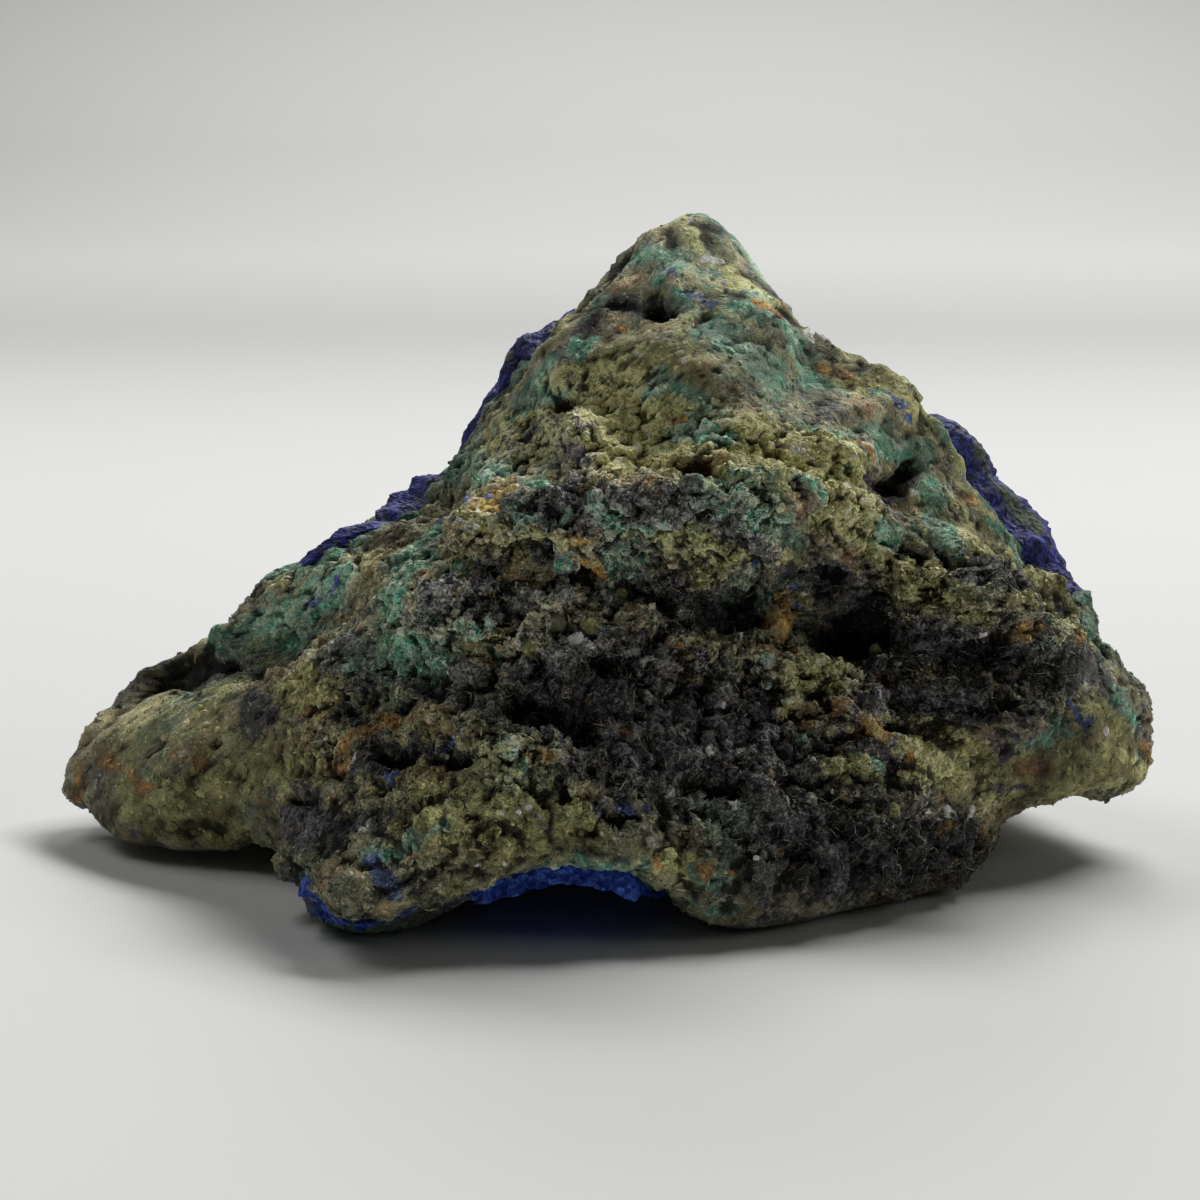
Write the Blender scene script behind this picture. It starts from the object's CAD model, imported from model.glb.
"""Looks of the azurite specimen: a crumbly lump of weathered copper-ore matrix with blue crusts.

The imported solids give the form. The stone's skin is a fine closed grid that follows the solid and
carries the broken relief: ledges, hollows, cauliflower lumps and pores. Thousands of loose-looking
crumbs, shreds and crystals are grown onto it as joined meshes. What mineral shows where is a set of
shares kept on every point, and one ore finish turns them into colour.

Lengths are in millimetres, unless something else is said, until a mesh is made. Directions are
measured in stretched space, where the stone is about as wide as it is deep and high. A pixel is a
place in a 1200 x 1200 view.
"""

import logging
import math
from dataclasses import dataclass, field
from enum import Enum
from typing import Any

import bpy
import mathutils
import numpy as np
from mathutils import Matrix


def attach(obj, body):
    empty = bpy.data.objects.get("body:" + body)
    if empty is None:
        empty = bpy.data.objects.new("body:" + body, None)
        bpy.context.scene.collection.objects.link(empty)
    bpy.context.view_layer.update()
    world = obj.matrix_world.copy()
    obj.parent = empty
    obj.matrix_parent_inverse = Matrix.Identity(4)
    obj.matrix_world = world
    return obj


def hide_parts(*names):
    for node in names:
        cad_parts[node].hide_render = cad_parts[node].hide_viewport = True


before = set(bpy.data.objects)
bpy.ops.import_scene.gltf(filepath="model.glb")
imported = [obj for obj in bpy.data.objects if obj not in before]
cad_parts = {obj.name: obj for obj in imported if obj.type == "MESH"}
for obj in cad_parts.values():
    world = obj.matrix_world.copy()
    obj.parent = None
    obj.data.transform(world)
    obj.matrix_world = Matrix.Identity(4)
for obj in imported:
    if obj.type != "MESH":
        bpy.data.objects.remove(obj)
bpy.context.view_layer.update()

Array = np.ndarray
Pixel = tuple[float, float]
# A table's row: from pixel (x, y) to pixel (x, y), half width in pixels, and what the table adds.
Row = tuple[float, ...]

MM = 0.001
BODY = "root"
HEART = np.array((-0.04, 1.067, 19.0))  # every point of the stone's form can be seen from here
HALF_SIZES = np.array((43.0, 28.0, 24.0))
CLEAR = 0.05  # what grains and fibres keep above the table, in millimetres

log = logging.getLogger("azurite_specimen")


# -----------------------------------------
# Numbers


def linear(code: str) -> tuple[float, float, float, float]:
    """Turns an sRGB hex value into linear colour.

    Args:
        code: six hex digits after a number sign.

    Returns:
        Red, green, blue and an alpha of 1.
    """
    parts = [int(code[i : i + 2], 16) / 255.0 for i in (1, 3, 5)]
    flat = [c / 12.92 if c <= 0.04045 else ((c + 0.055) / 1.055) ** 2.4 for c in parts]
    return (flat[0], flat[1], flat[2], 1.0)


def smooth_step(low: float, high: float, values: Array) -> Array:
    """Goes from 0 at low to 1 at high along 3t^2 - 2t^3.

    Args:
        low: where the step starts.
        high: where it ends.
        values: numbers of any shape.

    Returns:
        Numbers from 0 to 1, of the same shape.
    """
    t = np.clip((values - low) / (high - low), 0.0, 1.0)
    return t * t * (3.0 - 2.0 * t)


def unit(vectors: Array) -> Array:
    """Gives every row a length of 1."""
    return vectors / np.maximum(np.linalg.norm(vectors, axis=-1, keepdims=True), 1e-12)


class Lattice:
    """Random slopes, spots and values for the unit cubes of space, alike again after SIZE cubes."""

    SIZE = 4096
    SHIFT = np.array((13.7, 71.3, 37.1))  # from one seed's pattern to the next

    def __init__(self) -> None:
        """Fills the tables."""
        dice = np.random.default_rng(1806)
        self.order = dice.permutation(self.SIZE)
        self.slopes = unit(dice.normal(size=(self.SIZE, 3)))
        self.spots = dice.random((self.SIZE, 3))
        self.values = dice.random(self.SIZE)

    def code(self, x: Array, y: Array, z: Array) -> Array:
        """The table row of each cube, from its whole-number corner."""
        last = self.SIZE - 1
        return self.order[(self.order[(self.order[x & last] + y) & last] + z) & last]


LATTICE = Lattice()


def gradient_noise(places: Array, spacing: float, seed: int) -> Array:
    """Perlin's noise: random slopes on a cubic lattice, blended with 6t^5 - 15t^4 + 10t^3.

    Args:
        places: (n, 3).
        spacing: lattice spacing.
        seed: which pattern.

    Returns:
        About -1 to 1, (n,).
    """
    scaled = places / spacing + seed * LATTICE.SHIFT
    base = np.floor(scaled).astype(int)
    part = scaled - base
    ease = part**3 * (part * (part * 6.0 - 15.0) + 10.0)
    low = 1.0 - ease
    total = np.zeros(len(places))
    for corner in np.ndindex(2, 2, 2):
        slopes = LATTICE.slopes[LATTICE.code(*(base + corner).T)]
        weight = np.ones(len(places))
        for axis, high in enumerate(corner):
            weight *= ease[:, axis] if high else low[:, axis]
        total += weight * ((part - corner) * slopes).sum(axis=1)
    return total * 1.6


def fractal(places: Array, spacing: float, octaves: int, seed: int) -> Array:
    """Adds up gradient noise, each octave at half the spacing and half the strength of the last.

    Args:
        places: (n, 3).
        spacing: of the first octave.
        octaves: how many.
        seed: which pattern.

    Returns:
        About -1 to 1, (n,).
    """
    return sum(
        0.5**octave * gradient_noise(places, spacing / 2.0**octave, seed + 10 * octave)
        for octave in range(octaves)
    )


def wander(places: Array, spacing: float, seed: int) -> Array:
    """A smooth random vector at every place, (n, 3), about -1 to 1."""
    return np.stack([gradient_noise(places, spacing, seed + k) for k in (0, 1, 2)], axis=1)


@dataclass
class Cells:
    """A random cell pattern, looked up at many places.

    Attributes:
        nearest: distance to the nearest cell's seed, as a share of the spacing.
        second: distance to the next nearest.
        value: a random number from 0 to 1 that the whole cell shares.
        tilt: how high the place stands on its cell's randomly tilted plane.
    """

    nearest: Array
    second: Array
    value: Array
    tilt: Array


def cell_pattern(places: Array, spacing: float, seed: int) -> Cells:
    """Worley's cells: one seed at a random spot of each lattice cube, nearest seed wins.

    Args:
        places: (n, 3).
        spacing: lattice spacing.
        seed: which pattern.

    Returns:
        The pattern at every place.
    """
    scaled = places / spacing + seed * LATTICE.SHIFT
    base = np.floor(scaled).astype(int)
    part = scaled - base
    count = len(places)
    nearest, second = np.full(count, 9.0), np.full(count, 9.0)
    winner, offset = np.zeros(count, int), np.zeros((count, 3))
    for step in np.ndindex(3, 3, 3):
        shift = np.array(step) - 1
        row = LATTICE.code(*(base + shift).T)
        away = part - shift - LATTICE.spots[row]
        far = (away**2).sum(axis=1)
        closer = far < nearest
        second = np.where(closer, nearest, np.minimum(second, far))
        nearest = np.where(closer, far, nearest)
        winner = np.where(closer, row, winner)
        offset = np.where(closer[:, None], away, offset)
    tilt = (offset * LATTICE.slopes[winner]).sum(axis=1)
    return Cells(np.sqrt(nearest), np.sqrt(second), LATTICE.values[winner], tilt)


def blocks(places: Array, spacing: float, seed: int) -> Array:
    """Broken blocks: each cell has its own height and tilt, and a crack runs round it.

    Args:
        places: (n, 3).
        spacing: of the blocks.
        seed: which pattern.

    Returns:
        Height, about -1 to 1, (n,).
    """
    bent = places + 0.3 * spacing * wander(places, spacing * 0.7, seed + 3)
    cells = cell_pattern(bent, spacing, seed)
    crack = np.exp(-(((cells.second - cells.nearest) / 0.14) ** 2))
    return 1.1 * (cells.value - 0.45) + 1.0 * cells.tilt - 0.55 * crack


# -----------------------------------------
# Grids and meshes


def cube_sheets(squares: int) -> Array:
    """Divides the six sides of a cube so that its squares look even in angle from its middle.

    Args:
        squares: along each side.

    Returns:
        Corners from -1 to 1, (6, squares + 1, squares + 1, 3).
    """
    even = np.tan(np.linspace(-1.0, 1.0, squares + 1) * math.pi / 4.0)
    across, up = np.meshgrid(even, even, indexing="ij")
    sheets = np.empty((6, *across.shape, 3))
    for side, sheet in enumerate(sheets):
        sheet[..., side % 3] = 1.0 if side < 3 else -1.0
        sheet[..., (side + 1) % 3] = across
        sheet[..., (side + 2) % 3] = up
    return sheets


def cube_sphere(squares: int, pull: tuple[float, float, float]) -> tuple[Array, Array]:
    """A closed grid of directions: a divided cube blown up to a ball, denser on one side.

    Adding pull to every direction and making its length 1 again draws the points towards it.

    Args:
        squares: along each side of the cube.
        pull: shorter than 1, towards the side that gets finer squares.

    Returns:
        Directions (n, 3) and quads (m, 4) that face outwards.
    """
    points = cube_sheets(squares).reshape(-1, 3)
    index = np.arange(len(points)).reshape(6, squares + 1, squares + 1)
    low, high = slice(None, -1), slice(1, None)
    quads = [index[:, low, low], index[:, high, low], index[:, high, high], index[:, low, high]]
    quads = np.stack(quads, axis=-1)
    quads[3:] = quads[3:, ..., ::-1].copy()  # the sides at -1 would face inwards
    _, first, back = np.unique(
        np.round(points * 1e6).astype(np.int64), axis=0, return_index=True, return_inverse=True
    )
    directions = unit(unit(points[first]) + np.array(pull))
    return directions, back.reshape(-1)[quads.reshape(-1, 4)]


def renumbered(faces: Array) -> tuple[Array, Array]:
    """The points that faces use, in order, and the faces with those points counted from 0."""
    used, back = np.unique(faces, return_inverse=True)
    return used, back.reshape(faces.shape)


def edges_of(faces: Array) -> Array:
    """Each face's edges in turn, as pairs of points, (n, 2)."""
    return np.stack([faces, np.roll(faces, -1, axis=1)], axis=-1).reshape(-1, 2)


def vertex_normals(places: Array, quads: Array) -> Array:
    """Sums the faces' area normals, from their diagonals, on their corners.

    Args:
        places: (n, 3).
        quads: (m, 4).

    Returns:
        Unit normals (n, 3).
    """
    first, second, third, fourth = (places[quads[:, k]] for k in range(4))
    spread = np.repeat(np.cross(third - first, fourth - second), 4, axis=0)
    corners = quads.reshape(-1)
    sums = [np.bincount(corners, weights=spread[:, k], minlength=len(places)) for k in range(3)]
    return unit(np.stack(sums, axis=1))


def even_out(values: Array, faces: Array, rounds: int) -> Array:
    """Replaces each point's value by the mean of its neighbours' along face edges, again and again.

    Args:
        values: (n,).
        faces: (m, 4).
        rounds: how often.

    Returns:
        The blurred values, (n,).
    """
    near = faces.reshape(-1)
    far = np.roll(faces, 1, axis=1).reshape(-1)
    count = np.bincount(near, minlength=len(values)) + np.bincount(far, minlength=len(values))
    for _ in range(rounds):
        total = np.bincount(near, weights=values[far], minlength=len(values))
        total += np.bincount(far, weights=values[near], minlength=len(values))
        values = total / np.maximum(count, 1)
    return values


def make_piece(
    name: str,
    places: Array,
    faces: Array,
    finish: bpy.types.Material,
    shares: dict[str, Array] | None = None,
    smooth: bool = True,
) -> bpy.types.Object:
    """Puts arrays into a mesh object at the origin.

    Args:
        name: the piece's name.
        places: (n, 3).
        faces: (m, 3) or (m, 4), facing outwards.
        finish: its material.
        shares: point attributes by name, each (n, 3) from 0 to 1.
        smooth: shade it smooth rather than faceted.

    Returns:
        The object, linked to the scene.
    """
    mesh = bpy.data.meshes.new(name)
    sides = faces.shape[1]
    mesh.vertices.add(len(places))
    mesh.vertices.foreach_set("co", (places * MM).astype(np.float32).reshape(-1))
    mesh.loops.add(faces.size)
    mesh.loops.foreach_set("vertex_index", faces.astype(np.int32).reshape(-1))
    mesh.polygons.add(len(faces))
    mesh.polygons.foreach_set("loop_start", np.arange(0, faces.size, sides, dtype=np.int32))
    mesh.polygons.foreach_set("loop_total", np.full(len(faces), sides, dtype=np.int32))
    mesh.polygons.foreach_set("use_smooth", np.full(len(faces), smooth))
    mesh.update(calc_edges=True)
    for label, values in (shares or {}).items():
        layer = mesh.attributes.new(label, "FLOAT_COLOR", "POINT")
        full = np.concatenate([values, np.ones((len(values), 1))], axis=1)
        layer.data.foreach_set("color", full.astype(np.float32).reshape(-1))
    mesh.materials.append(finish)
    piece = bpy.data.objects.new(name, mesh)
    bpy.context.scene.collection.objects.link(piece)
    return piece


# -----------------------------------------
# The viewpoint that places the named features


@dataclass(frozen=True)
class Viewpoint:
    """Where the stone is seen from: close, a little above, looking along +Y.

    Attributes:
        place: the eye.
        pitch: how far it looks down, in degrees.
        focal: distance of the picture, in pixels.
        width: of the square picture, in pixels.
    """

    place: tuple[float, float, float] = (-0.04, -173.93, 52.7)
    pitch: float = 10.9
    focal: float = 2239.0
    width: float = 1200.0

    def project(self, places: Array) -> tuple[Array, Array]:
        """Finds where places show.

        Args:
            places: (n, 3).

        Returns:
            Pixels (n, 2) and distances along the view (n,).
        """
        cos, sin = math.cos(math.radians(self.pitch)), math.sin(math.radians(self.pitch))
        away = places - np.array(self.place)
        deep = away[:, 1] * cos - away[:, 2] * sin
        high = away[:, 1] * sin + away[:, 2] * cos
        middle = self.width / 2.0
        shown = np.stack(
            [middle + self.focal * away[:, 0] / deep, middle - self.focal * high / deep], axis=1
        )
        return shown, deep

    def add_camera(self) -> None:
        """Makes the camera and gives it to the scene."""
        lens = bpy.data.cameras.new("viewpoint")
        lens.sensor_fit = "HORIZONTAL"
        lens.lens = lens.sensor_width * self.focal / self.width
        lens.clip_start, lens.clip_end = 0.01, 10.0  # metres
        camera = bpy.data.objects.new("viewpoint", lens)
        camera.location = [c * MM for c in self.place]
        camera.rotation_euler = (math.radians(90.0 - self.pitch), 0.0, 0.0)
        bpy.context.scene.collection.objects.link(camera)
        bpy.context.scene.camera = camera


class Landing:
    """Puts pixels onto the stone's form: the point seen there, nearest to the eye."""

    REACH = 8.0  # pixels within which a point of the form counts as seen at a pixel
    LAYER = 2.5  # millimetres of depth that count as one layer
    BLUR = 3.0  # pixels over which the points are weighted

    def __init__(self, viewpoint: Viewpoint, places: Array) -> None:
        """Keeps the form's points as the viewpoint sees them.

        Args:
            viewpoint: where pixels are seen from.
            places: the form's points, (n, 3).
        """
        self.places = places
        self.focal = viewpoint.focal
        self.shown, self.deep = viewpoint.project(places)

    def at(self, pixel: Pixel) -> Array:
        """Finds what is seen at a pixel: the mean of the nearest layer's points there.

        Args:
            pixel: x and y.

        Returns:
            The place (3,).
        """
        away = np.linalg.norm(self.shown - np.array(pixel), axis=1)
        close = away < self.REACH
        if not close.any():
            return self.places[int(np.argmin(away))]
        front = close & (self.deep < self.deep[close].min() + self.LAYER)
        weights = np.exp(-((away[front] / self.BLUR) ** 2)) + 1e-9
        return weights @ self.places[front] / weights.sum()

    def millimetres(self, pixels: float, place: Array) -> float:
        """A width of so many pixels at a place, in millimetres."""
        nearest = int(np.argmin(((self.places - place) ** 2).sum(axis=1)))
        return pixels * float(self.deep[nearest]) / self.focal

    def run(self, row: Row) -> tuple[Array, Array, float]:
        """Lands a row of one of the tables.

        Args:
            row: two pixels' x and y, a half width in pixels, and what the table adds.

        Returns:
            The run's two ends (3,) and its half width.
        """
        first, last = self.at(row[0:2]), self.at(row[2:4])
        return first, last, self.millimetres(row[4], first)


def capsule_distance(places: Array, start: Array, end: Array) -> Array:
    """Measures how far places are from the straight run between two points.

    Args:
        places: (n, 3).
        start: one end of the run, (3,).
        end: the other.

    Returns:
        Distances (n,), in the points' unit.
    """
    along = end - start
    length = float(along @ along)
    step = np.clip((places - start) @ along / max(length, 1e-9), 0.0, 1.0)
    return np.linalg.norm(places - start - step[:, None] * along, axis=1)


# -----------------------------------------
# What grows where


class Mineral(Enum):
    """What the ore's surface can show, besides its grey-brown ground."""

    SOOT = 0  # black-brown manganese and copper oxides
    OLIVE = 1  # yellow-olive limonite dust
    TEAL = 2  # malachite and chrysocolla
    AZURITE = 3  # deep blue azurite
    RUST = 4  # orange-brown goethite
    PALE = 5  # white and pinkish quartz and clay


# A mesh's point attributes: the shares of soot, olive and teal; of azurite, rust and pale; and how
# raised, pale and rough the surface is.
DARK, BRIGHT, RELIEF = "dark_deposits", "bright_deposits", "relief"

# The share of each mineral away from its named seams: its mean, and the strength, spacing in
# millimetres, octaves and seed of the noise that spreads it.
STRAY: dict[Mineral, tuple[float, float, float, int, int]] = {
    Mineral.SOOT: (0.40, 0.42, 13.0, 3, 31),
    Mineral.OLIVE: (0.46, 0.42, 12.0, 3, 37),
    Mineral.TEAL: (0.40, 0.50, 11.0, 3, 41),
    Mineral.AZURITE: (0.08, 0.50, 6.0, 3, 43),
    Mineral.RUST: (0.16, 0.50, 7.0, 3, 47),
    Mineral.PALE: (0.10, 0.40, 5.0, 2, 53),
}

# Each mineral's seams by name.
SEAMS: dict[Mineral, dict[str, Row]] = {
    Mineral.SOOT: dict(
        belly=(560, 695, 740, 730, 66), belly_top=(596, 648, 660, 655, 40),
        belly_black=(528, 700, 585, 720, 34), left_lump=(432, 602, 488, 582, 16),
        lump_row=(450, 612, 560, 604, 13), middle=(540, 604, 640, 600, 16),
        lump_gap=(482, 566, 506, 586, 9), recess_line=(508, 578, 552, 556, 8),
        shelf=(512, 510, 640, 514, 19), shelf_right=(640, 500, 735, 514, 24),
        shelf_edge=(562, 486, 584, 492, 11), shelf_edge_dot=(596, 484, 602, 486, 6),
        slate_block=(742, 524, 768, 546, 19), brow=(640, 590, 684, 612, 30),
        brow_top=(600, 545, 640, 556, 12), beside_cream=(576, 574, 594, 578, 10),
        recess=(712, 606, 752, 612, 22), cavity_top=(788, 580, 840, 572, 15),
        cavity=(846, 596, 880, 655, 34), boss=(905, 650, 1035, 656, 38), boss_low=(900, 690, 985, 706, 26),
        boss_top=(972, 572, 1048, 600, 22), boss_right=(1052, 674, 1098, 670, 22),
        boss_back=(1040, 640, 1060, 655, 16), chin=(640, 745, 770, 765, 52),
        chin_right=(770, 836, 860, 860, 54), lower_right=(866, 846, 962, 850, 40),
        sill_shade=(800, 742, 884, 752, 12), sill_dark=(850, 700, 880, 706, 12),
        left_cheek=(288, 812, 322, 832, 24), left_slope=(335, 650, 470, 682, 26),
        slope_left=(250, 700, 268, 722, 17), left_pit=(348, 712, 360, 716, 9),
        saddle=(196, 672, 234, 664, 20), saddle_right=(252, 672, 260, 680, 8),
        rust_hollow=(370, 752, 412, 748, 15), rust_hollow_right=(430, 754, 464, 757, 9),
        heart_pit=(874, 488, 900, 484, 14), heart_pit_top=(900, 478, 916, 464, 11),
        patch=(566, 450, 584, 458, 11), peak_left=(592, 322, 566, 352, 13),
        peak_pit=(650, 306, 670, 310, 15), peak_pit_left=(612, 300, 636, 306, 12),
        face_slot=(904, 544, 924, 552, 8), face_slot_right=(940, 548, 954, 562, 8),
        crown_slot=(726, 486, 742, 477, 7), blue_left_gap=(604, 812, 632, 818, 8),
        lobe_gap=(1000, 734, 1006, 752, 8), lobe_under=(990, 786, 1020, 790, 7),
        toe_gap=(350, 820, 420, 805, 8),
    ),
    Mineral.OLIVE: dict(
        lip_left=(495, 440, 620, 425, 42), lip=(640, 452, 840, 468, 44), crown=(740, 474, 852, 502, 34),
        lip_end=(852, 445, 878, 560, 16), upper_left=(566, 400, 664, 404, 36),
        upper_mid=(590, 370, 650, 360, 30), recess=(506, 552, 546, 548, 15), band=(630, 546, 752, 550, 16),
        recess_low=(690, 602, 700, 640, 17), right_of_shelf=(700, 566, 750, 585, 16),
        tail=(130, 800, 250, 775, 24), tail_low=(150, 822, 240, 828, 18),
        left_foot=(420, 812, 560, 834, 40), mid_left=(420, 772, 520, 762, 30),
        slope=(290, 690, 320, 700, 24), slope_low=(280, 770, 340, 770, 18),
        boss_edge=(914, 574, 942, 606, 20), boss_grey=(930, 612, 990, 622, 12),
        boss_rim=(884, 672, 936, 662, 12), boss_rim_up=(884, 650, 902, 624, 10),
        yellow=(906, 744, 955, 770, 26), yellow_top=(906, 722, 952, 720, 11),
        lobe=(1000, 772, 1130, 772, 36), lobe_top=(1095, 700, 1130, 760, 22),
        right_edge=(800, 350, 940, 430, 24), right_rim=(1066, 590, 1090, 640, 13),
        peak=(700, 235, 772, 300, 20), peak_low=(725, 275, 760, 290, 14), sill=(788, 690, 832, 670, 16),
        sill_lumps=(812, 764, 880, 772, 15), green_slab=(780, 544, 798, 564, 11),
        stripe=(965, 520, 990, 552, 9), stripe_up=(954, 455, 962, 512, 7),
        green_nodule=(616, 592, 624, 600, 10), nodule=(586, 624, 594, 634, 11),
        grey_lump=(810, 600, 838, 606, 10), cavity_bump=(870, 645, 880, 645, 9),
        ochre_foot=(470, 512, 500, 526, 12), rim=(640, 862, 700, 866, 16),
    ),
    Mineral.TEAL: dict(
        peak=(638, 256, 670, 260, 13), peak_dark=(662, 274, 668, 286, 9), peak_line=(672, 290, 690, 312, 8),
        crest=(598, 296, 572, 346, 6), crest_low=(560, 358, 520, 396, 8),
        crest_patch=(576, 352, 590, 342, 9), left_patch=(530, 398, 562, 400, 11),
        left_line=(500, 424, 524, 404, 9), slope_top=(745, 300, 800, 345, 26),
        slope_mid=(716, 335, 766, 372, 26), slope_low=(655, 382, 700, 395, 15),
        slope_right=(800, 345, 815, 380, 14), low_patch=(682, 426, 706, 430, 14),
        low_dark=(722, 436, 734, 438, 11), streak=(800, 420, 836, 437, 7),
        streak_end=(836, 437, 860, 432, 6), streak_up=(826, 388, 842, 394, 7),
        streak_far=(876, 390, 890, 396, 8), shelf_end=(522, 514, 532, 518, 8),
        shelf_left=(552, 514, 562, 510, 7), shelf_middle=(594, 508, 622, 524, 13),
        shelf_dip=(636, 532, 658, 526, 9), shelf_right=(738, 516, 766, 516, 9),
        shelf_step=(782, 520, 796, 540, 11), crown_right=(796, 486, 812, 496, 11),
        crown_left=(728, 490, 744, 488, 6), crown_middle=(768, 482, 776, 484, 5),
        crown_far=(648, 444, 658, 444, 5), crown_low=(708, 500, 716, 506, 6),
        ridge_high=(458, 448, 484, 470, 20),
        ridge_mid=(444, 478, 466, 474, 12), ridge=(400, 560, 440, 520, 26),
        ridge_low=(392, 596, 420, 560, 22), ridge_dots=(440, 566, 460, 566, 9),
        bright_patch=(396, 650, 438, 658, 23), bright_core=(428, 650, 436, 662, 12),
        far_left=(250, 626, 340, 585, 26), far_left_low=(285, 640, 330, 625, 14),
        green_patch=(528, 482, 543, 482, 12), green_patch_top=(534, 473, 540, 474, 8),
        saddle=(210, 634, 222, 640, 12), nodule_rim=(470, 632, 492, 622, 9),
        lump_nodule=(554, 564, 574, 560, 8), dot_mid=(600, 626, 616, 624, 7), face=(934, 486, 946, 540, 17),
        face_left=(880, 524, 900, 546, 12), face_top=(880, 440, 920, 450, 20),
        face_foot=(954, 552, 976, 556, 6), face_mid=(916, 528, 930, 540, 9),
        face_right=(990, 528, 1004, 534, 8), right_edge=(1044, 560, 1070, 590, 13),
        right_edge_low=(1086, 610, 1096, 640, 9), lobe=(1118, 690, 1136, 720, 13),
        lobe_spot=(1060, 724, 1072, 730, 8), lobe_mid=(1026, 746, 1050, 738, 12),
        lobe_line=(1134, 745, 1138, 752, 6), left_foot=(388, 852, 420, 838, 14),
        left_foot_up=(430, 830, 446, 822, 9), left_toe=(338, 922, 372, 926, 8),
        left_toe_up=(370, 845, 378, 862, 10), rim=(580, 862, 640, 862, 12),
        rim_left=(560, 870, 576, 872, 8), right_foot=(700, 872, 740, 880, 9),
        right_toe=(700, 905, 730, 912, 12), sill=(762, 658, 772, 664, 8), sill_low=(740, 688, 756, 692, 7),
        fleck=(800, 742, 806, 746, 6), belly_dot=(716, 694, 722, 698, 6),
        yellow_dot=(942, 760, 950, 762, 5), sill_grey=(864, 764, 874, 770, 7),
    ),
    Mineral.AZURITE: dict(
        peak=(684, 288, 712, 304, 8), peak_tip=(706, 300, 714, 312, 5), peak_low=(655, 338, 672, 335, 6),
        peak_dot=(672, 266, 677, 272, 5), shoulder=(898, 400, 903, 408, 6),
        shoulder_left=(882, 408, 892, 412, 4), shoulder_low=(905, 414, 916, 432, 5),
        ridge=(442, 516, 453, 505, 7), ridge_fleck=(486, 450, 488, 462, 4),
        ridge_dot=(438, 486, 443, 484, 4), ridge_edge=(400, 500, 478, 422, 6),
        far_left=(306, 602, 336, 586, 6), left_toe=(378, 858, 390, 896, 10),
        left_toe_low=(390, 902, 440, 912, 8), left_foot=(292, 884, 308, 892, 7),
        lobe=(1072, 702, 1090, 720, 7), recess=(752, 566, 764, 578, 6),
        recess_right=(776, 566, 784, 580, 5), recess_low=(794, 592, 802, 600, 5),
        recess_far=(824, 570, 832, 584, 6), rust_hollow=(380, 766, 400, 776, 6),
        rust_hollow_up=(424, 742, 446, 740, 5), hollow_left=(352, 768, 364, 772, 6),
        rim=(636, 808, 640, 812, 10), rim_left=(538, 824, 544, 826, 7), grey_streak=(456, 498, 480, 494, 4),
        lip_dot=(848, 418, 850, 420, 4), face_dot=(984, 522, 990, 524, 5),
    ),
    Mineral.RUST: dict(
        ochre=(488, 498, 514, 488, 16), ochre_low=(496, 503, 502, 504, 8),
        ochre_arm=(508, 482, 516, 472, 6), peak=(616, 326, 630, 330, 5), peak_right=(760, 302, 778, 310, 8),
        peak_left=(608, 284, 614, 280, 6), lip=(626, 481, 638, 484, 6), lip_next=(646, 482, 658, 485, 4),
        lip_right=(684, 450, 734, 462, 6), lip_pit=(674, 466, 704, 461, 9),
        slope_pit=(554, 408, 572, 400, 9), slope_fleck=(664, 420, 674, 422, 5),
        nodule=(786, 608, 778, 630, 16), nodule_low=(782, 634, 790, 650, 8),
        hollow=(352, 742, 396, 722, 16), hollow_left=(326, 772, 342, 766, 13),
        hollow_top=(378, 718, 418, 712, 8), hollow_low=(410, 770, 440, 774, 9),
        sill=(792, 706, 814, 716, 8), peach=(838, 706, 896, 750, 8), peach_end=(896, 750, 908, 764, 6),
        boss=(1018, 634, 1042, 612, 12), boss_low=(888, 674, 896, 676, 7),
        boss_right=(1066, 642, 1078, 640, 9), boss_top=(950, 568, 958, 566, 5),
        boss_dot=(997, 630, 1004, 628, 6), boss_side=(1042, 668, 1048, 666, 4),
        face=(964, 496, 976, 508, 8), face_low=(982, 534, 986, 538, 4), lobe=(1018, 768, 1048, 764, 8),
        lobe_tip=(1142, 745, 1146, 760, 6), lobe_up=(1008, 700, 1016, 704, 6),
        lobe_red=(982, 730, 986, 734, 5), right_foot=(705, 868, 740, 876, 6),
        right_foot_end=(785, 850, 800, 872, 7), rim_fleck=(650, 860, 656, 862, 5),
        lower_right=(934, 826, 944, 832, 6), left_toe=(316, 892, 324, 902, 6), tail=(104, 758, 150, 792, 9),
        tail_tip=(78, 772, 84, 796, 8), tail_mid=(160, 738, 210, 768, 7), left_pit=(304, 710, 312, 712, 7),
        mid_brown=(530, 756, 556, 760, 7), lump_pink=(528, 577, 542, 573, 6),
        shelf_under=(560, 534, 582, 538, 7), right_edge=(838, 372, 856, 376, 8),
        right_edge_up=(815, 366, 824, 372, 8), right_edge_low=(866, 444, 874, 452, 6),
        olive_recess=(526, 552, 534, 546, 6), left_foot=(400, 820, 412, 812, 6),
        crown_dot=(820, 492, 826, 496, 4), belly_dot=(616, 722, 626, 730, 6), chin=(688, 842, 694, 846, 5),
        brow=(596, 566, 608, 574, 5), hollow_right=(428, 722, 448, 732, 5),
    ),
    Mineral.PALE: dict(
        peak=(706, 262, 722, 258, 5), peak_right=(722, 262, 736, 268, 4), peak_low=(720, 283, 732, 286, 3),
        ochre=(524, 474, 519, 487, 5), front=(514, 812, 526, 808, 7), boss=(981, 633, 986, 632, 6),
        lower_right=(930, 810, 948, 816, 5), lower_right_top=(946, 802, 954, 803, 4),
        lower_right_end=(966, 810, 974, 806, 3), sill=(848, 712, 862, 722, 5), lobe=(1104, 733, 1112, 733, 4),
        crown=(802, 450, 806, 454, 5), lumps=(518, 634, 526, 634, 4), nodule=(570, 640, 576, 646, 6),
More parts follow.
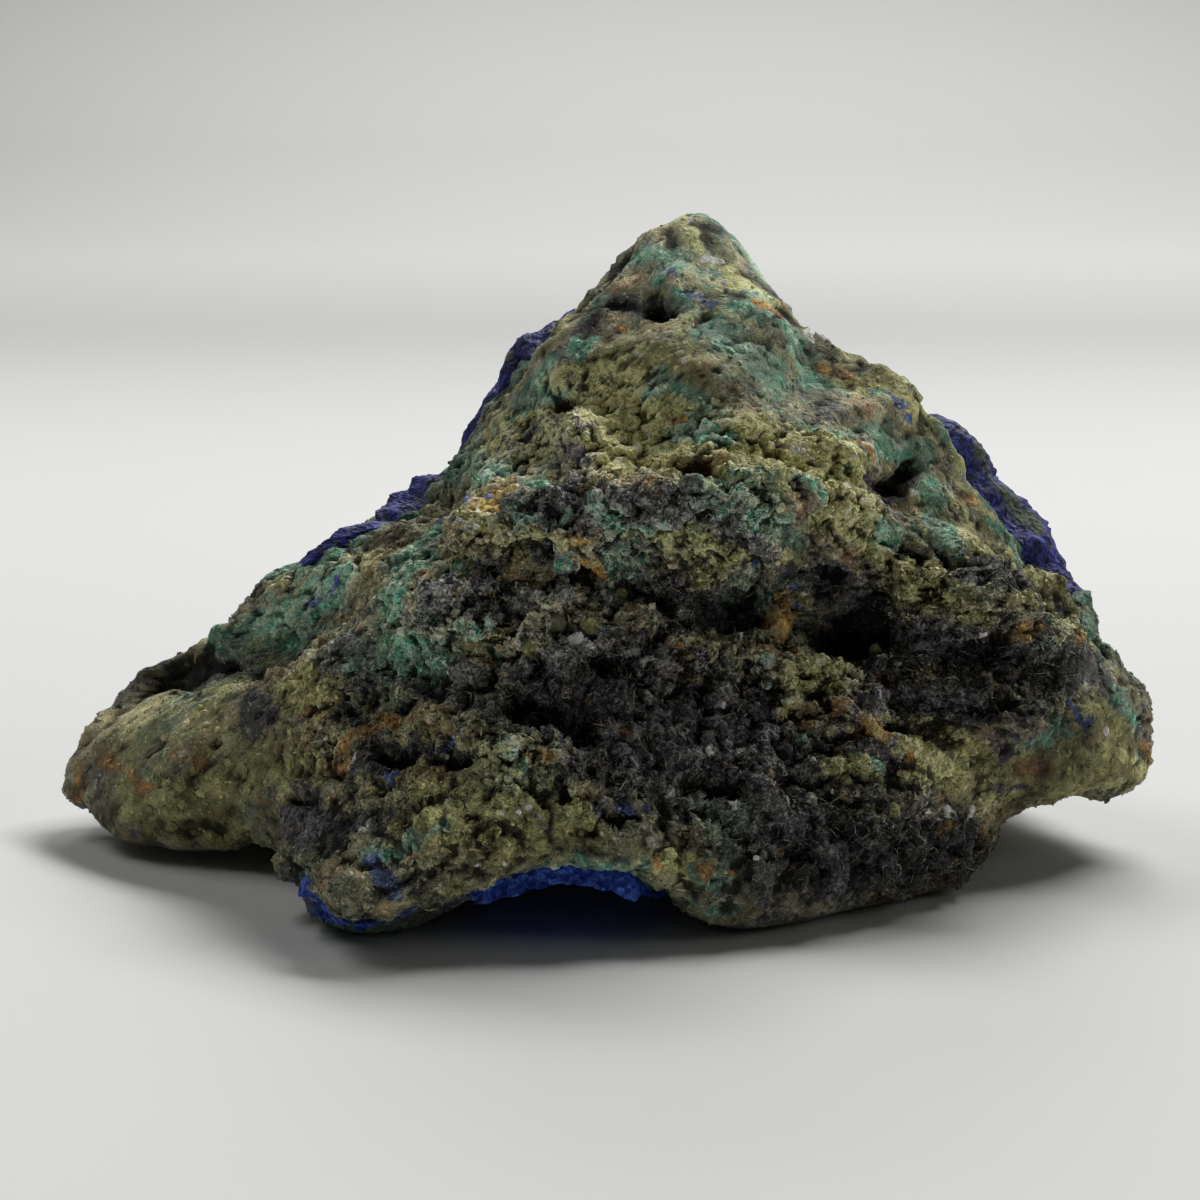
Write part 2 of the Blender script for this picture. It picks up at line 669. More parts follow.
        belly_pink=(678, 645, 682, 646, 5), belly_cream=(655, 655, 665, 650, 5),
        boss_rim=(888, 640, 894, 650, 5), ridge=(444, 463, 447, 460, 3), peak_flat=(636, 352, 646, 354, 4),
        foot_chip=(753, 862, 756, 856, 3), slope_chip=(808, 338, 812, 340, 3),
    ),
}

# Hollows (height below 0) and lumps or ledges (above 0); adds the height in millimetres.
CARVINGS: dict[str, Row] = dict(
    cavity=(832, 642, 866, 628, 22, -2.4), cavity_right=(866, 610, 880, 600, 15, -1.6),
    cavity_upper=(792, 580, 838, 576, 11, -2.2), recess=(705, 612, 752, 614, 17, -1.8),
    sill_hole=(794, 710, 814, 714, 8, -1.5), sill_hole_up=(808, 694, 822, 690, 6, -1.0),
    sill_hole_right=(888, 728, 900, 734, 8, -1.4), heart_pit=(876, 487, 898, 486, 10, -2.0),
    heart_pit_top=(902, 476, 914, 464, 8, -1.7), face_slot=(942, 548, 954, 562, 6, -1.5),
    face_slot_left=(906, 545, 924, 552, 6, -1.2), peak_pit=(652, 308, 668, 312, 10, -1.8),
    peak_pit_top=(654, 296, 660, 298, 7, -0.8), peak_pit_left=(612, 302, 634, 306, 8, -0.4),
    lip_pit=(674, 464, 702, 462, 9, -1.2), slope_pit=(556, 404, 570, 400, 7, -1.0),
    crown_slot=(726, 486, 742, 478, 6, -1.0), belly_hollow=(522, 700, 585, 724, 22, -2.0),
    belly_hollow_top=(512, 690, 520, 712, 10, -1.0), belly_hole=(578, 576, 594, 578, 7, -1.4),
    belly_hole_low=(600, 664, 630, 662, 10, -1.1), chin_hollow=(688, 784, 740, 786, 9, -0.9),
    rust_hollow=(380, 752, 414, 748, 11, -2.0), rust_hollow_right=(432, 755, 462, 757, 7, -1.1),
    rust_hollow_low=(384, 786, 396, 784, 6, -0.8), cheek_hollow=(288, 796, 316, 800, 7, -1.1),
    toe_gap=(340, 816, 420, 806, 6, -0.6), saddle_pit=(224, 660, 234, 670, 9, -1.4),
    saddle_pit_right=(252, 672, 258, 678, 6, -0.9), round_pit=(308, 710, 310, 711, 6, -0.9),
    tail_pit=(214, 742, 218, 744, 5, -0.7), left_pit=(350, 712, 358, 716, 6, -0.7),
    olive_recess=(510, 556, 544, 552, 11, -1.1), lump_gap=(484, 568, 504, 584, 6, -0.9),
    lump_gap_low=(508, 580, 548, 560, 5, -0.8), blue_gap=(606, 816, 630, 818, 6, -0.9),
    boss_shade=(900, 700, 990, 712, 13, -0.9), lobe_notch=(1000, 700, 1062, 716, 12, -0.6),
    lobe_gap=(1000, 734, 1006, 752, 8, -0.5), lobe_gap_up=(905, 730, 980, 735, 6, -0.9),
    lower_right_slot=(830, 800, 880, 806, 6, -0.4), shelf_black=(568, 488, 582, 492, 6, -0.8),
    boss_edge_hole=(1010, 640, 1016, 624, 6, -0.8), shelf_brow=(512, 502, 740, 500, 11, 0.8),
    lip_brow=(640, 432, 850, 452, 11, 0.5), crown=(760, 480, 840, 500, 22, 0.6),
    slate_block=(745, 526, 768, 545, 14, 0.5), boss_brow=(905, 580, 1050, 584, 16, 1.0),
    boss_step=(888, 666, 934, 658, 9, 0.9), cavity_sill=(790, 664, 845, 668, 10, 1.0),
    peach_ridge=(840, 704, 896, 750, 7, 0.9), grey_lump=(806, 604, 838, 610, 13, 1.0),
    rust_nodule=(784, 610, 778, 632, 10, 1.0), left_lump=(434, 600, 486, 584, 15, 1.0),
    lump_mid=(520, 600, 560, 600, 12, 0.6), lump_low=(450, 660, 495, 672, 14, 0.7),
    belly_lump=(600, 600, 640, 620, 16, 0.6), right_lump=(730, 650, 755, 655, 18, 0.8),
    brow_lump=(556, 564, 574, 562, 7, 0.6), cream_lump=(594, 566, 608, 574, 7, 0.7),
    chin_ledge=(760, 790, 800, 836, 10, 0.6), sill_lumps=(814, 764, 836, 766, 10, 0.9),
    sill_lumps_right=(860, 764, 876, 774, 10, 0.8), yellow_lump=(906, 748, 946, 764, 15, 0.9),
    cheek_ledge=(290, 786, 345, 792, 7, 0.9), left_slope_ledge=(330, 640, 440, 660, 10, 0.4),
    toe_ridge=(355, 830, 350, 880, 6, 0.5), toe_bulge=(336, 890, 360, 900, 14, 0.4),
    peak_knuckle_left=(644, 240, 654, 236, 9, 0.5), peak_gap=(665, 232, 671, 242, 8, -0.25),
    peak_knuckle=(694, 222, 704, 222, 9, -0.2), peak_flank_right=(722, 238, 768, 282, 26, -0.35),
    peak_flank_left=(575, 312, 628, 252, 13, -0.5), shoulder_left=(780, 305, 800, 322, 10, -0.5),
    shoulder_rim=(880, 372, 945, 425, 14, 0.4), shoulder_right=(825, 345, 850, 352, 16, 0.5),
    saddle_dip=(166, 668, 196, 662, 26, -1.8), tail_back=(85, 728, 98, 716, 14, 0.8),
    tail_top=(138, 692, 158, 682, 12, -0.9), tail_belly=(180, 846, 236, 848, 20, 1.2),
    tail_tip=(66, 790, 74, 806, 10, 0.4), lobe_under=(1100, 795, 1145, 765, 14, 0.5),
    foot_right_under=(880, 905, 955, 885, 16, 1.3), heel_right=(975, 850, 985, 838, 12, -1.2),
    rim_under=(650, 896, 680, 902, 10, -0.8), cheek_edge=(280, 878, 272, 866, 12, 1.0),
    right_rim=(1078, 580, 1086, 590, 11, 0.9),
)

# Adds how broken the stone is, from 0 for worn smooth to 1 for rubble, and how pale its dust is
# (1 is middling).
ZONES: dict[str, Row] = dict(
    tail=(100, 790, 230, 760, 100, 0.12, 1.02), tail_top=(90, 715, 200, 722, 26, 0.10, 2.1),
    tail_under=(90, 836, 200, 846, 18, 0.10, 0.55), saddle=(230, 660, 300, 660, 50, 0.45, 0.95),
    shoulder=(275, 610, 345, 578, 26, 0.30, 2.6), left_ridge=(380, 600, 500, 440, 50, 0.30, 1.35),
    left_crest=(520, 400, 590, 310, 18, 0.08, 1.10), upper_slope=(660, 350, 860, 420, 75, 0.12, 1.45),
    upper_left=(560, 400, 640, 390, 34, 0.50, 2.9), peak=(680, 245, 745, 265, 42, 0.10, 2.3),
    lip=(520, 450, 850, 480, 42, 0.72, 3.3), lip_left=(505, 452, 600, 445, 34, 0.55, 5.5),
    ochre_patch=(490, 492, 515, 484, 18, 0.30, 9.0), orange=(785, 608, 782, 636, 14, 0.90, 6.5),
    left_toe=(378, 862, 392, 900, 13, 0.40, 2.4), shelf=(520, 515, 740, 512, 26, 0.90, 3.4),
    under_shelf=(500, 548, 760, 548, 18, 0.70, 2.4), recess=(640, 580, 760, 610, 40, 0.90, 1.5),
    lumps=(450, 590, 560, 615, 50, 1.00, 5.6), black_hollow=(535, 700, 600, 690, 26, 1.00, 0.45),
    belly=(600, 680, 700, 740, 90, 1.00, 1.40), belly_top=(640, 650, 740, 660, 28, 1.00, 2.4),
    belly_foot=(510, 760, 600, 775, 28, 0.90, 2.2), left_slope=(330, 700, 420, 740, 60, 0.75, 1.40),
    left_mid=(300, 660, 380, 620, 35, 0.45, 2.1), left_foot=(330, 830, 520, 830, 50, 0.60, 1.15),
    green_foot=(370, 835, 440, 850, 22, 0.50, 2.6), rim=(570, 858, 700, 868, 28, 0.15, 1.5),
    right_foot=(710, 895, 850, 895, 30, 0.35, 1.10), chin=(700, 810, 820, 800, 50, 0.95, 1.10),
    lower_right=(850, 840, 970, 840, 50, 0.95, 0.55), lobe_root=(930, 812, 985, 812, 16, 0.50, 2.4),
    sill=(780, 690, 900, 720, 50, 0.90, 2.5), boss=(920, 600, 1050, 605, 40, 1.00, 1.60),
    under_boss=(905, 690, 1050, 690, 38, 1.00, 0.50), green_face=(910, 500, 990, 500, 50, 0.15, 1.12),
    lobe=(960, 780, 1120, 750, 50, 0.12, 0.75), yellow=(890, 745, 955, 765, 28, 0.60, 3.6),
    lobe_end=(1110, 700, 1140, 760, 30, 0.15, 1.50),
)

# Azurite runs, each (from, to, half width) in millimetres: a crust covers what is nearer to one of
# its runs than its half width.
Run = tuple[tuple[float, float, float], tuple[float, float, float], float]
BACK_RUNS: tuple[Run, ...] = (
    ((-22.6, 6.9, 23.0), (-18.3, 7.3, 26.0), 3.3),
    ((-17.54, 10.57, 26.5), (-8.04, 13.57, 35.0), 3.2),
    ((-5.04, 15.37, 38.4), (-6.04, 20.07, 28.0), 4.6),
    ((-6.04, 21.07, 26.0), (13.96, 22.07, 26.0), 9.0),
    ((13.96, 20.07, 28.0), (27.5, 15.0, 27.5), 5.2),
    ((28.6, 8.4, 32.0), (37.96, 6.57, 21.0), 3.6),
    ((27.96, 18.07, 22.0), (19.96, 23.07, 16.0), 6.0),
)
UNDERSIDE_RUNS: tuple[Run, ...] = (
    ((-19.04, -23.43, 2.4), (-12.04, -25.93, 2.0), 2.2),
    ((-12.04, -24.93, 2.0), (-2.04, -23.93, 3.5), 2.2),
    ((-5.04, -23.93, 3.9), (0.4, -23.63, 3.7), 2.5),
    ((-6.04, -17.93, 4.5), (1.96, -17.93, 5.0), 4.5),
)
ALL_RUNS = BACK_RUNS + UNDERSIDE_RUNS


def share_inside(places: Array, runs: tuple[Run, ...]) -> Array:
    """Finds how deep inside a crust each place is.

    Args:
        places: (n, 3).
        runs: the crust's.

    Returns:
        1 on a run's middle, 0 at its edge, less outside, (n,).
    """
    depths = [
        1.0 - capsule_distance(places, np.array(start), np.array(end)) / width
        for start, end, width in runs
    ]
    return np.max(depths, axis=0)


class Deposits:
    """Knows every seam's place on the stone, and gives the shares of each mineral anywhere."""

    THINNEST = 0.34  # millimetres of half width, about the skin's own spacing
    SEEN = 0.60  # how much of the stray shares the side with the named seams gets
    SETTLED = 0.15  # how much more olive dust lies on what faces up

    def __init__(self, landing: Landing) -> None:
        """Lands every seam on the stone's form.

        Args:
            landing: puts pixels onto the form.
        """
        self.seams: list[tuple[Mineral, Array, Array, float]] = []
        for mineral, seams in SEAMS.items():
            for seam in seams.values():
                first, last, reach = landing.run(seam)
                self.seams.append((mineral, first, last, max(reach, self.THINNEST)))

    def shares(self, places: Array, normals: Array) -> dict[str, Array]:
        """Finds how much of each mineral there is.

        A share of 0.5 is a seam's edge. Away from the named seams, slow noise lays out the same
        minerals over the back, the top and the underside. Green surrounds the azurite.

        Args:
            places: (n, 3), on the stone's form.
            normals: (n, 3), outward.

        Returns:
            The dark and the bright point attribute, each (n, 3).
        """
        found = np.full((len(Mineral), len(places)), -1.0)
        moved = places + 1.0 * wander(places, 2.6, 61) + 0.5 * wander(places, 1.0, 67)
        for mineral, first, last, width in self.seams:
            inside = 1.0 - capsule_distance(moved, first, last) / width
            found[mineral.value] = np.maximum(found[mineral.value], inside)
        found = np.clip(0.5 + 0.5 * found, 0.0, 1.0)
        unseen = smooth_step(-6.0, 8.0, places[:, 1]) * smooth_step(-0.1, 0.5, normals[:, 1] + 0.4)
        unseen = np.maximum(unseen, smooth_step(0.4, 0.9, -normals[:, 2]))
        for mineral, (mean, strength, spacing, octaves, seed) in STRAY.items():
            stray = mean + strength * fractal(places, spacing, octaves, seed)
            if mineral is Mineral.OLIVE:
                stray += self.SETTLED * normals[:, 2]
            stray = np.clip(stray, 0.0, 1.0)
            stray = unseen * stray + (1.0 - unseen) * stray * self.SEEN
            found[mineral.value] = np.maximum(found[mineral.value], stray)
        halo = share_inside(places, ALL_RUNS)
        green = np.clip(0.72 + 0.5 * halo, 0.0, 0.75) + 0.12 * fractal(places, 4.0, 2, 59)
        green = np.where(halo > -0.9, green, 0.0)
        found[Mineral.TEAL.value] = np.maximum(found[Mineral.TEAL.value], green)
        found = np.clip(found, 0.0, 1.0).T
        return {DARK: found[:, :3], BRIGHT: found[:, 3:]}


# -----------------------------------------
# Finishes


Socket = bpy.types.NodeSocket
Sockets = bpy.types.bpy_prop_collection  # a node's sockets, by name

# Settings of shader nodes that are used again and again.
STEP = {"interpolation_type": "SMOOTHSTEP"}  # from 0 at input 1 to 1 at input 2
TIMES = {"operation": "MULTIPLY"}
LESSER = {"operation": "MINIMUM"}
GREATER = {"operation": "MAXIMUM"}
BLEND = {"output": 2, "data_type": "RGBA", "clamp_result": True}  # of colours 6 and 7 by factor 0


def pattern(place: Socket, size: float, **more: float) -> dict[str, Any]:
    """The inputs of a texture of a size in millimetres."""
    return {"Vector": place, "Scale": 1.0 / (size * MM), **more}


def shaded(tone: Socket, dark: str, light: str) -> dict[Any, Any]:
    """The inputs of a mix, by tone, between two sRGB hex values."""
    return {0: tone, 6: linear(dark), 7: linear(light)}


class Recipe:
    """A material while it is put together.

    Attributes:
        made: the material.
        place: where on the piece, in Object coordinates.
    """

    def __init__(self, name: str) -> None:
        """Starts a material.

        Args:
            name: what it is called.
        """
        self.made = bpy.data.materials.new(name)
        self.made.use_nodes = True
        self.place = self.add("TexCoord", {}, "Object")

    def add(self, kind: str, inputs: dict[Any, Any], output: Any = 0, **settings: Any) -> Socket:
        """Adds a shader node.

        Args:
            kind: the node's type name after "ShaderNode".
            inputs: its sockets by name or number, each a value or the output socket to link.
            output: which of its outputs is wanted, by name or number.
            settings: its properties by name.

        Returns:
            The output socket.
        """
        node = self.made.node_tree.nodes.new("ShaderNode" + kind)
        for label, value in settings.items():
            setattr(node, label, value)
        self.fill(node, inputs)
        return node.outputs[output]

    def fill(self, node: bpy.types.Node, inputs: dict[Any, Any]) -> None:
        """Gives a node's inputs their values and links.

        Args:
            node: any of the material's.
            inputs: as for add.
        """
        for label, value in inputs.items():
            if isinstance(value, Socket):
                self.made.node_tree.links.new(value, node.inputs[label])
            else:
                node.inputs[label].default_value = value

    def finished(self, inputs: dict[str, Any]) -> bpy.types.Material:
        """Gives the surface its inputs and hands over the material."""
        self.fill(self.made.node_tree.nodes["Principled BSDF"], inputs)
        return self.made

    def sums(self, *terms: tuple[Socket, float], start: float = 0.0) -> Socket:
        """Adds up values.

        Args:
            terms: each a value and its factor.
            start: added to them.

        Returns:
            The sum.
        """
        total: Any = start
        for value, factor in terms:
            total = self.add("Math", {0: value, 1: factor, 2: total}, operation="MULTIPLY_ADD")
        return total

    def product(self, first: Socket, *others: Socket) -> Socket:
        """Multiplies values.

        Args:
            first: a value.
            others: the others.

        Returns:
            The product.
        """
        for other in others:
            first = self.add("Math", {0: first, 1: other}, **TIMES)
        return first

    def wide_noise(self, place: Socket, size: float, detail: float) -> Socket:
        """Fractal noise of a size in millimetres, stretched so that it fills 0 to 1."""
        noise = self.add("TexNoise", pattern(place, size, Detail=detail, Roughness=0.6))
        return self.add("MapRange", {0: noise, 1: 0.30, 2: 0.70})

    def attribute(self, name: str) -> Sockets:
        """A point attribute's red, green and blue."""
        colour = self.add("Attribute", {}, attribute_name=name)
        return self.add("SeparateColor", {0: colour}).node.outputs

    def cells(self, place: Socket, size: float) -> tuple[Sockets, Socket]:
        """Random cells of a size in millimetres: their random colour, and how far their middle is."""
        found = self.add("TexVoronoi", pattern(place, size), "Color")
        return self.add("SeparateColor", {0: found}).node.outputs, found.node.outputs["Distance"]

    def bent(self, place: Socket, size: float, far: float) -> Socket:
        """Places moved by up to far millimetres, by noise of a size in millimetres."""
        noise = self.add("TexNoise", pattern(place, size, Detail=1.0), "Color")
        return self.add("VectorMath", {0: noise, 1: [far * MM] * 3, 2: place}, operation="MULTIPLY_ADD")

    def threads(self, place: Socket, size: float, thin: float) -> Socket:
        """Draws curled threads, where noise is close to its middle value.

        Args:
            place: where.
            size: of the noise.
            thin: how close.

        Returns:
            1 on a thread's middle, 0 beside it.
        """
        noise = self.add("TexNoise", pattern(place, size, Detail=1.0, Roughness=0.4))
        off = self.add("Math", {0: noise, 1: 0.5}, operation="SUBTRACT")
        off = self.add("Math", {0: off}, operation="ABSOLUTE")
        return self.add("MapRange", {0: off, 1: thin, 2: 0.0}, **STEP)


class Tones(Enum):
    """Each mineral's darker and lighter tone, sRGB."""

    GROUND = ("#24231a", "#b9b592")
    BROWN = ("#2b2117", "#b89f7a")
    SLATE = ("#1f1f21", "#a19fa1")
    SOOT = ("#020203", "#7e7b7b")
    OLIVE = ("#35341a", "#d3d090")
    TEAL = ("#1f3529", "#a9c0a6")
    VERDIGRIS = ("#0c4030", "#8ccfae")
    AZURITE = ("#141a30", "#7484a6")
    CORNFLOWER = ("#1d2759", "#6c7fbf")
    RUST = ("#3a2b19", "#b0946a")
    OCHRE = ("#6c4a1c", "#e6b877")
    PALE = ("#cdc6b8", "#fffdf8")


@dataclass(frozen=True)
class Cover:
    """How one mineral covers the ground.

    Attributes:
        tones: its colours.
        source: the point attribute and the channel that hold its share.
        channel: which random number of the grains picks it.
        film: how strongly its dust tints all the ground where its share is high.
        ragged: how far chance shifts the edge of a patch, which lies on average at a share of 0.5.
        most: the greatest share that counts; below 1 a patch is mottled in its middle too.
        rare: taken off the share, for accents inside a patch.
    """

    tones: Tones
    source: tuple[str, str]
    channel: str
    film: float
    ragged: float
    most: float
    rare: float = 0.0


COVERS = (
    Cover(Tones.OLIVE, (DARK, "Green"), "Blue", 0.55, 0.95, 0.90),
    Cover(Tones.SOOT, (DARK, "Red"), "Red", 0.60, 0.85, 0.90),
    Cover(Tones.TEAL, (DARK, "Blue"), "Green", 0.45, 0.95, 0.78),
    Cover(Tones.VERDIGRIS, (DARK, "Blue"), "Red", 0.0, 1.20, 0.66, 0.24),
    Cover(Tones.RUST, (BRIGHT, "Green"), "Red", 0.30, 0.80, 0.95),
    Cover(Tones.OCHRE, (BRIGHT, "Green"), "Blue", 0.0, 1.20, 0.80, 0.24),
    Cover(Tones.AZURITE, (BRIGHT, "Red"), "Green", 0.15, 0.70, 0.95),
    Cover(Tones.CORNFLOWER, (BRIGHT, "Red"), "Blue", 0.0, 1.20, 0.80, 0.30),
    Cover(Tones.PALE, (BRIGHT, "Blue"), "Blue", 0.12, 0.60, 1.0),
)
# Flecks of other minerals, each from this random number on.
FLECKS = ((Tones.PALE, 0.42), (Tones.TEAL, 0.66), (Tones.SLATE, 0.84))


@dataclass(frozen=True)
class OreFinish:
    """Weathered gossan: earthy, dull, porous, dusted with limonite, malachite and soot-black oxides.

    Its shares come from the mesh. Flakes of 1.3 mm and grains of 0.3 mm pick one mineral each by
    chance, so that a patch's edge breaks up. Where the stone is broken, curled pale threads of
    0.1 mm lie over dark ground; where it is worn, the tones run softly into each other.

    Attributes:
        name: the material's name.
        grain: the grains' size.
        flake: the flakes' size.
        fleck: the size of the cells of which some are a fleck.
        bump: the threads' and grains' height.
        roughness: of the dusty surface.
        index: of refraction, that of quartz.
        gloss: strength of the mirror reflection.
        strand: the colour of the curled threads that lie over everything.
    """

    name: str = "weathered_ore"
    grain: float = 0.30
    flake: float = 1.3
    fleck: float = 1.4
    bump: float = 0.20
    roughness: float = 0.86
    index: float = 1.55
    gloss: float = 0.35
    strand: str = "#a8a598"

    def material(self) -> bpy.types.Material:
        """Builds the node tree: patterns, then tone, minerals, shade and relief.

        Returns:
            The material.
        """
        recipe = Recipe(self.name)
        add, sums = recipe.add, recipe.sums
        curled = recipe.bent(recipe.place, 1.1, 1.3)
        fine = recipe.wide_noise(recipe.place, 0.17, 2.0)
        middle = recipe.wide_noise(curled, 0.80, 3.0)
        broad = recipe.wide_noise(recipe.place, 3.2, 3.0)
        own, _ = recipe.cells(recipe.place, self.grain)
        flakes, flake_middle = recipe.cells(curled, self.flake)
        parts = {name: recipe.attribute(name) for name in (DARK, BRIGHT, RELIEF)}
        raised, pale, rough = parts[RELIEF]
        curls = [recipe.threads(curled, size, thin) for size, thin in ((0.95, 0.040), (0.48, 0.055))]
        lines = add("Math", dict(enumerate(curls)), **GREATER)
        glints = add("MapRange", {0: own["Green"], 1: 0.955, 2: 0.975}, **STEP)

        # How light the ground is where it is worn (soft) and where it is broken (hard).
        soft = ((middle, 0.26), (broad, 0.18), (fine, 0.18), (own["Blue"], 0.06), (glints, 0.18))
        hard = ((middle, 0.56), (fine, 0.32), (flakes["Green"], 0.22), (lines, 0.40), (glints, 0.50))
        tone = add("Mix", {0: rough, 2: sums(*soft, start=0.15), 3: sums(*hard, start=-0.32)})
        tone = add("MapRange", {0: tone}, **STEP)
        colour = add("Mix", shaded(tone, *Tones.GROUND.value), **BLEND)
        patchy = sums((broad, 0.55), (flakes["Red"], 0.35), (middle, 0.3))
        for tones, low, high in ((Tones.BROWN, 0.64, 0.86), (Tones.SLATE, 0.54, 0.32)):
            patch = add("MapRange", {0: patchy, 1: low, 2: high}, **STEP)
            other = add("Mix", shaded(tone, *tones.value), **BLEND)
            colour = add("Mix", {0: patch, 6: colour, 7: other}, **BLEND)
        # Each mineral shows where its share and the luck of the grain and the flake say so.
        drift = sums((middle, 0.28), (broad, 0.16), (fine, 0.12))
        for cover in COVERS:
            luck = sums((own[cover.channel], 0.22), (flakes[cover.channel], 0.22), (drift, 1.0))
            name, channel = cover.source
            share = add("Math", {0: parts[name][channel], 1: cover.most}, **LESSER)
            start = 0.5 * cover.ragged - 0.5 - cover.rare
            chance = sums((share, 1.0), (luck, -cover.ragged), start=start)
            grown = add("Mix", shaded(tone, *cover.tones.value), **BLEND)
            if cover.film:
                film = sums((add("MapRange", {0: share, 1: 0.15, 2: 0.85}, **STEP), cover.film))
                colour = add("Mix", {0: film, 6: colour, 7: grown}, **BLEND)
            patch = add("MapRange", {0: chance, 1: -0.05, 2: 0.05}, **STEP)
            colour = add("Mix", {0: patch, 6: colour, 7: grown}, **BLEND)
        colour = self.flecked(recipe, curled, tone, fine, rough, colour)

        # Pores and hollows are darker, the zone sets how pale the dust is, and threads lie on top.
        pores = sums((flake_middle, 1.0), (middle, 0.35), (fine, 0.15))
        pores = add("MapRange", {0: pores, 1: 0.22, 2: 0.50}, **STEP)
        filled = add("Mix", {0: rough, 2: sums((pores, 0.35), start=0.65), 3: pores})
        raised = add("MapRange", {0: raised, 1: 0.10, 2: 0.62}, **STEP)
        pale = add("Math", {0: sums((pale, 2.85), start=-0.15), 1: 4.0}, **LESSER)
        shade = recipe.product(sums((filled, 0.82), start=0.18), sums((raised, 0.90), start=0.10), pale)
        grey = add("CombineColor", {0: shade, 1: shade, 2: shade})
        colour = add("Mix", {0: 1.0, 6: colour, 7: grey}, blend_type="MULTIPLY", **BLEND)
        patch = add("MapRange", {0: middle, 1: 0.25, 2: 0.75}, **STEP)
        strands = sums((recipe.product(lines, rough, patch), 0.26))
        colour = add("Mix", {0: strands, 6: colour, 7: linear(self.strand)}, **BLEND)

        height = sums((fine, 0.35), (middle, 0.40), (lines, 0.55), (filled, 0.30))
        height = recipe.product(height, sums((rough, 0.75), start=0.25))
        relief = {"Strength": 1.0, "Distance": self.bump * MM, "Height": height}
        surface = {"Base Color": colour, "Normal": add("Bump", relief), "Roughness": self.roughness}
        return recipe.finished({**surface, "IOR": self.index, "Specular IOR Level": self.gloss})

    def flecked(
        self, recipe: Recipe, place: Socket, tone: Socket, fine: Socket, rough: Socket, colour: Socket
    ) -> Socket:
        """Strews single flecks of other minerals, one in 7 cells.

        Args:
            recipe: the material.
            place: where.
            tone: 0 to 1, darker to lighter.
            fine: noise that frays the flecks.
            rough: more flecks show where the stone is broken.
            colour: of the ground.

        Returns:
            The colour with its flecks.
        """
        add = recipe.add
        own, away = recipe.cells(place, self.fleck)
        fleck = add("Mix", shaded(tone, *Tones.RUST.value), **BLEND)
        for tones, least in FLECKS:
            chance = add("MapRange", {0: own["Green"], 1: least - 0.01, 2: least + 0.01}, **STEP)
            other = add("Mix", shaded(tone, *tones.value), **BLEND)
            fleck = add("Mix", {0: chance, 6: fleck, 7: other}, **BLEND)
        chosen = add("MapRange", {0: own["Red"], 1: 0.84, 2: 0.86}, **STEP)
        frayed = recipe.sums((away, 1.0), (fine, 0.16))
        inside = add("MapRange", {0: frayed, 1: 0.40, 2: 0.28}, **STEP)
        strength = recipe.product(chosen, inside, recipe.sums((rough, 0.50), start=0.30))
        return add("Mix", {0: strength, 6: colour, 7: fleck}, **BLEND)


@dataclass(frozen=True)
class AzuriteFinish:
    """Azurite druse: deep blue copper carbonate crystals, vitreous on fresh faces, dusty between.

    Its index is that of azurite, 1.73 to 1.84. Crystals of 0.3 to 1 mm give patches of lighter and
    darker blue; grey-green dust lies over it in places and wherever the crust's share says.

    Attributes:
        name: the material's name.
        deep: the blue of thick crystals.
        light: the blue of thin and dusty ones.
        dust: the grey-green film's darker and lighter tone.
        dusty: how much of it is dusted.
        roughness: of the crystal faces, and of the film.
        index: of refraction.
        glint: strength of the mirror reflection.
    """

    name: str = "azurite_druse"
    deep: str = "#10154c"
    light: str = "#3641a4"
    dust: tuple[str, str] = ("#434e46", "#7f8676")
    dusty: float = 0.30
    roughness: tuple[float, float] = (0.60, 0.88)
    index: float = 1.75
    glint: float = 0.22

    def material(self) -> bpy.types.Material:
        """Builds the node tree.

        Returns:
            The material.
        """
        recipe = Recipe(self.name)
        add, sums = recipe.add, recipe.sums
        fine = recipe.wide_noise(recipe.place, 0.5, 4.0)
        broad = recipe.wide_noise(recipe.place, 3.2, 3.0)
        own, away = recipe.cells(recipe.bent(recipe.place, 0.8, 0.5), 0.55)
        tone = sums((fine, 0.55), (own["Red"], 0.45))
        tone = add("MapRange", {0: tone, 1: 0.25, 2: 0.80}, **STEP)
        film = add("MapRange", {0: broad, 1: 1.06 - self.dusty, 2: 1.26 - self.dusty}, **STEP)
        film = add("Math", {0: film, 1: recipe.attribute("dust")["Red"]}, **GREATER)
        film = sums((film, 1.0), (fine, 0.25), start=-0.12)
        film = add("MapRange", {0: film, 1: 0.30, 2: 0.62}, **STEP)
        blue = add("Mix", shaded(tone, self.deep, self.light), **BLEND)
        grey = add("Mix", shaded(fine, *self.dust), **BLEND)
        colour = add("Mix", {0: film, 6: blue, 7: grey}, **BLEND)
        dull = add("MapRange", {0: film, 3: self.roughness[0], 4: self.roughness[1]})
        height = sums((away, 1.0), (fine, 0.6))
        normal = add("Bump", {"Strength": 0.8, "Distance": 0.30 * MM, "Height": height})
        surface = {"Base Color": colour, "Roughness": dull, "Normal": normal}
        return recipe.finished({**surface, "IOR": self.index, "Specular IOR Level": self.glint})


# -----------------------------------------
# The stone


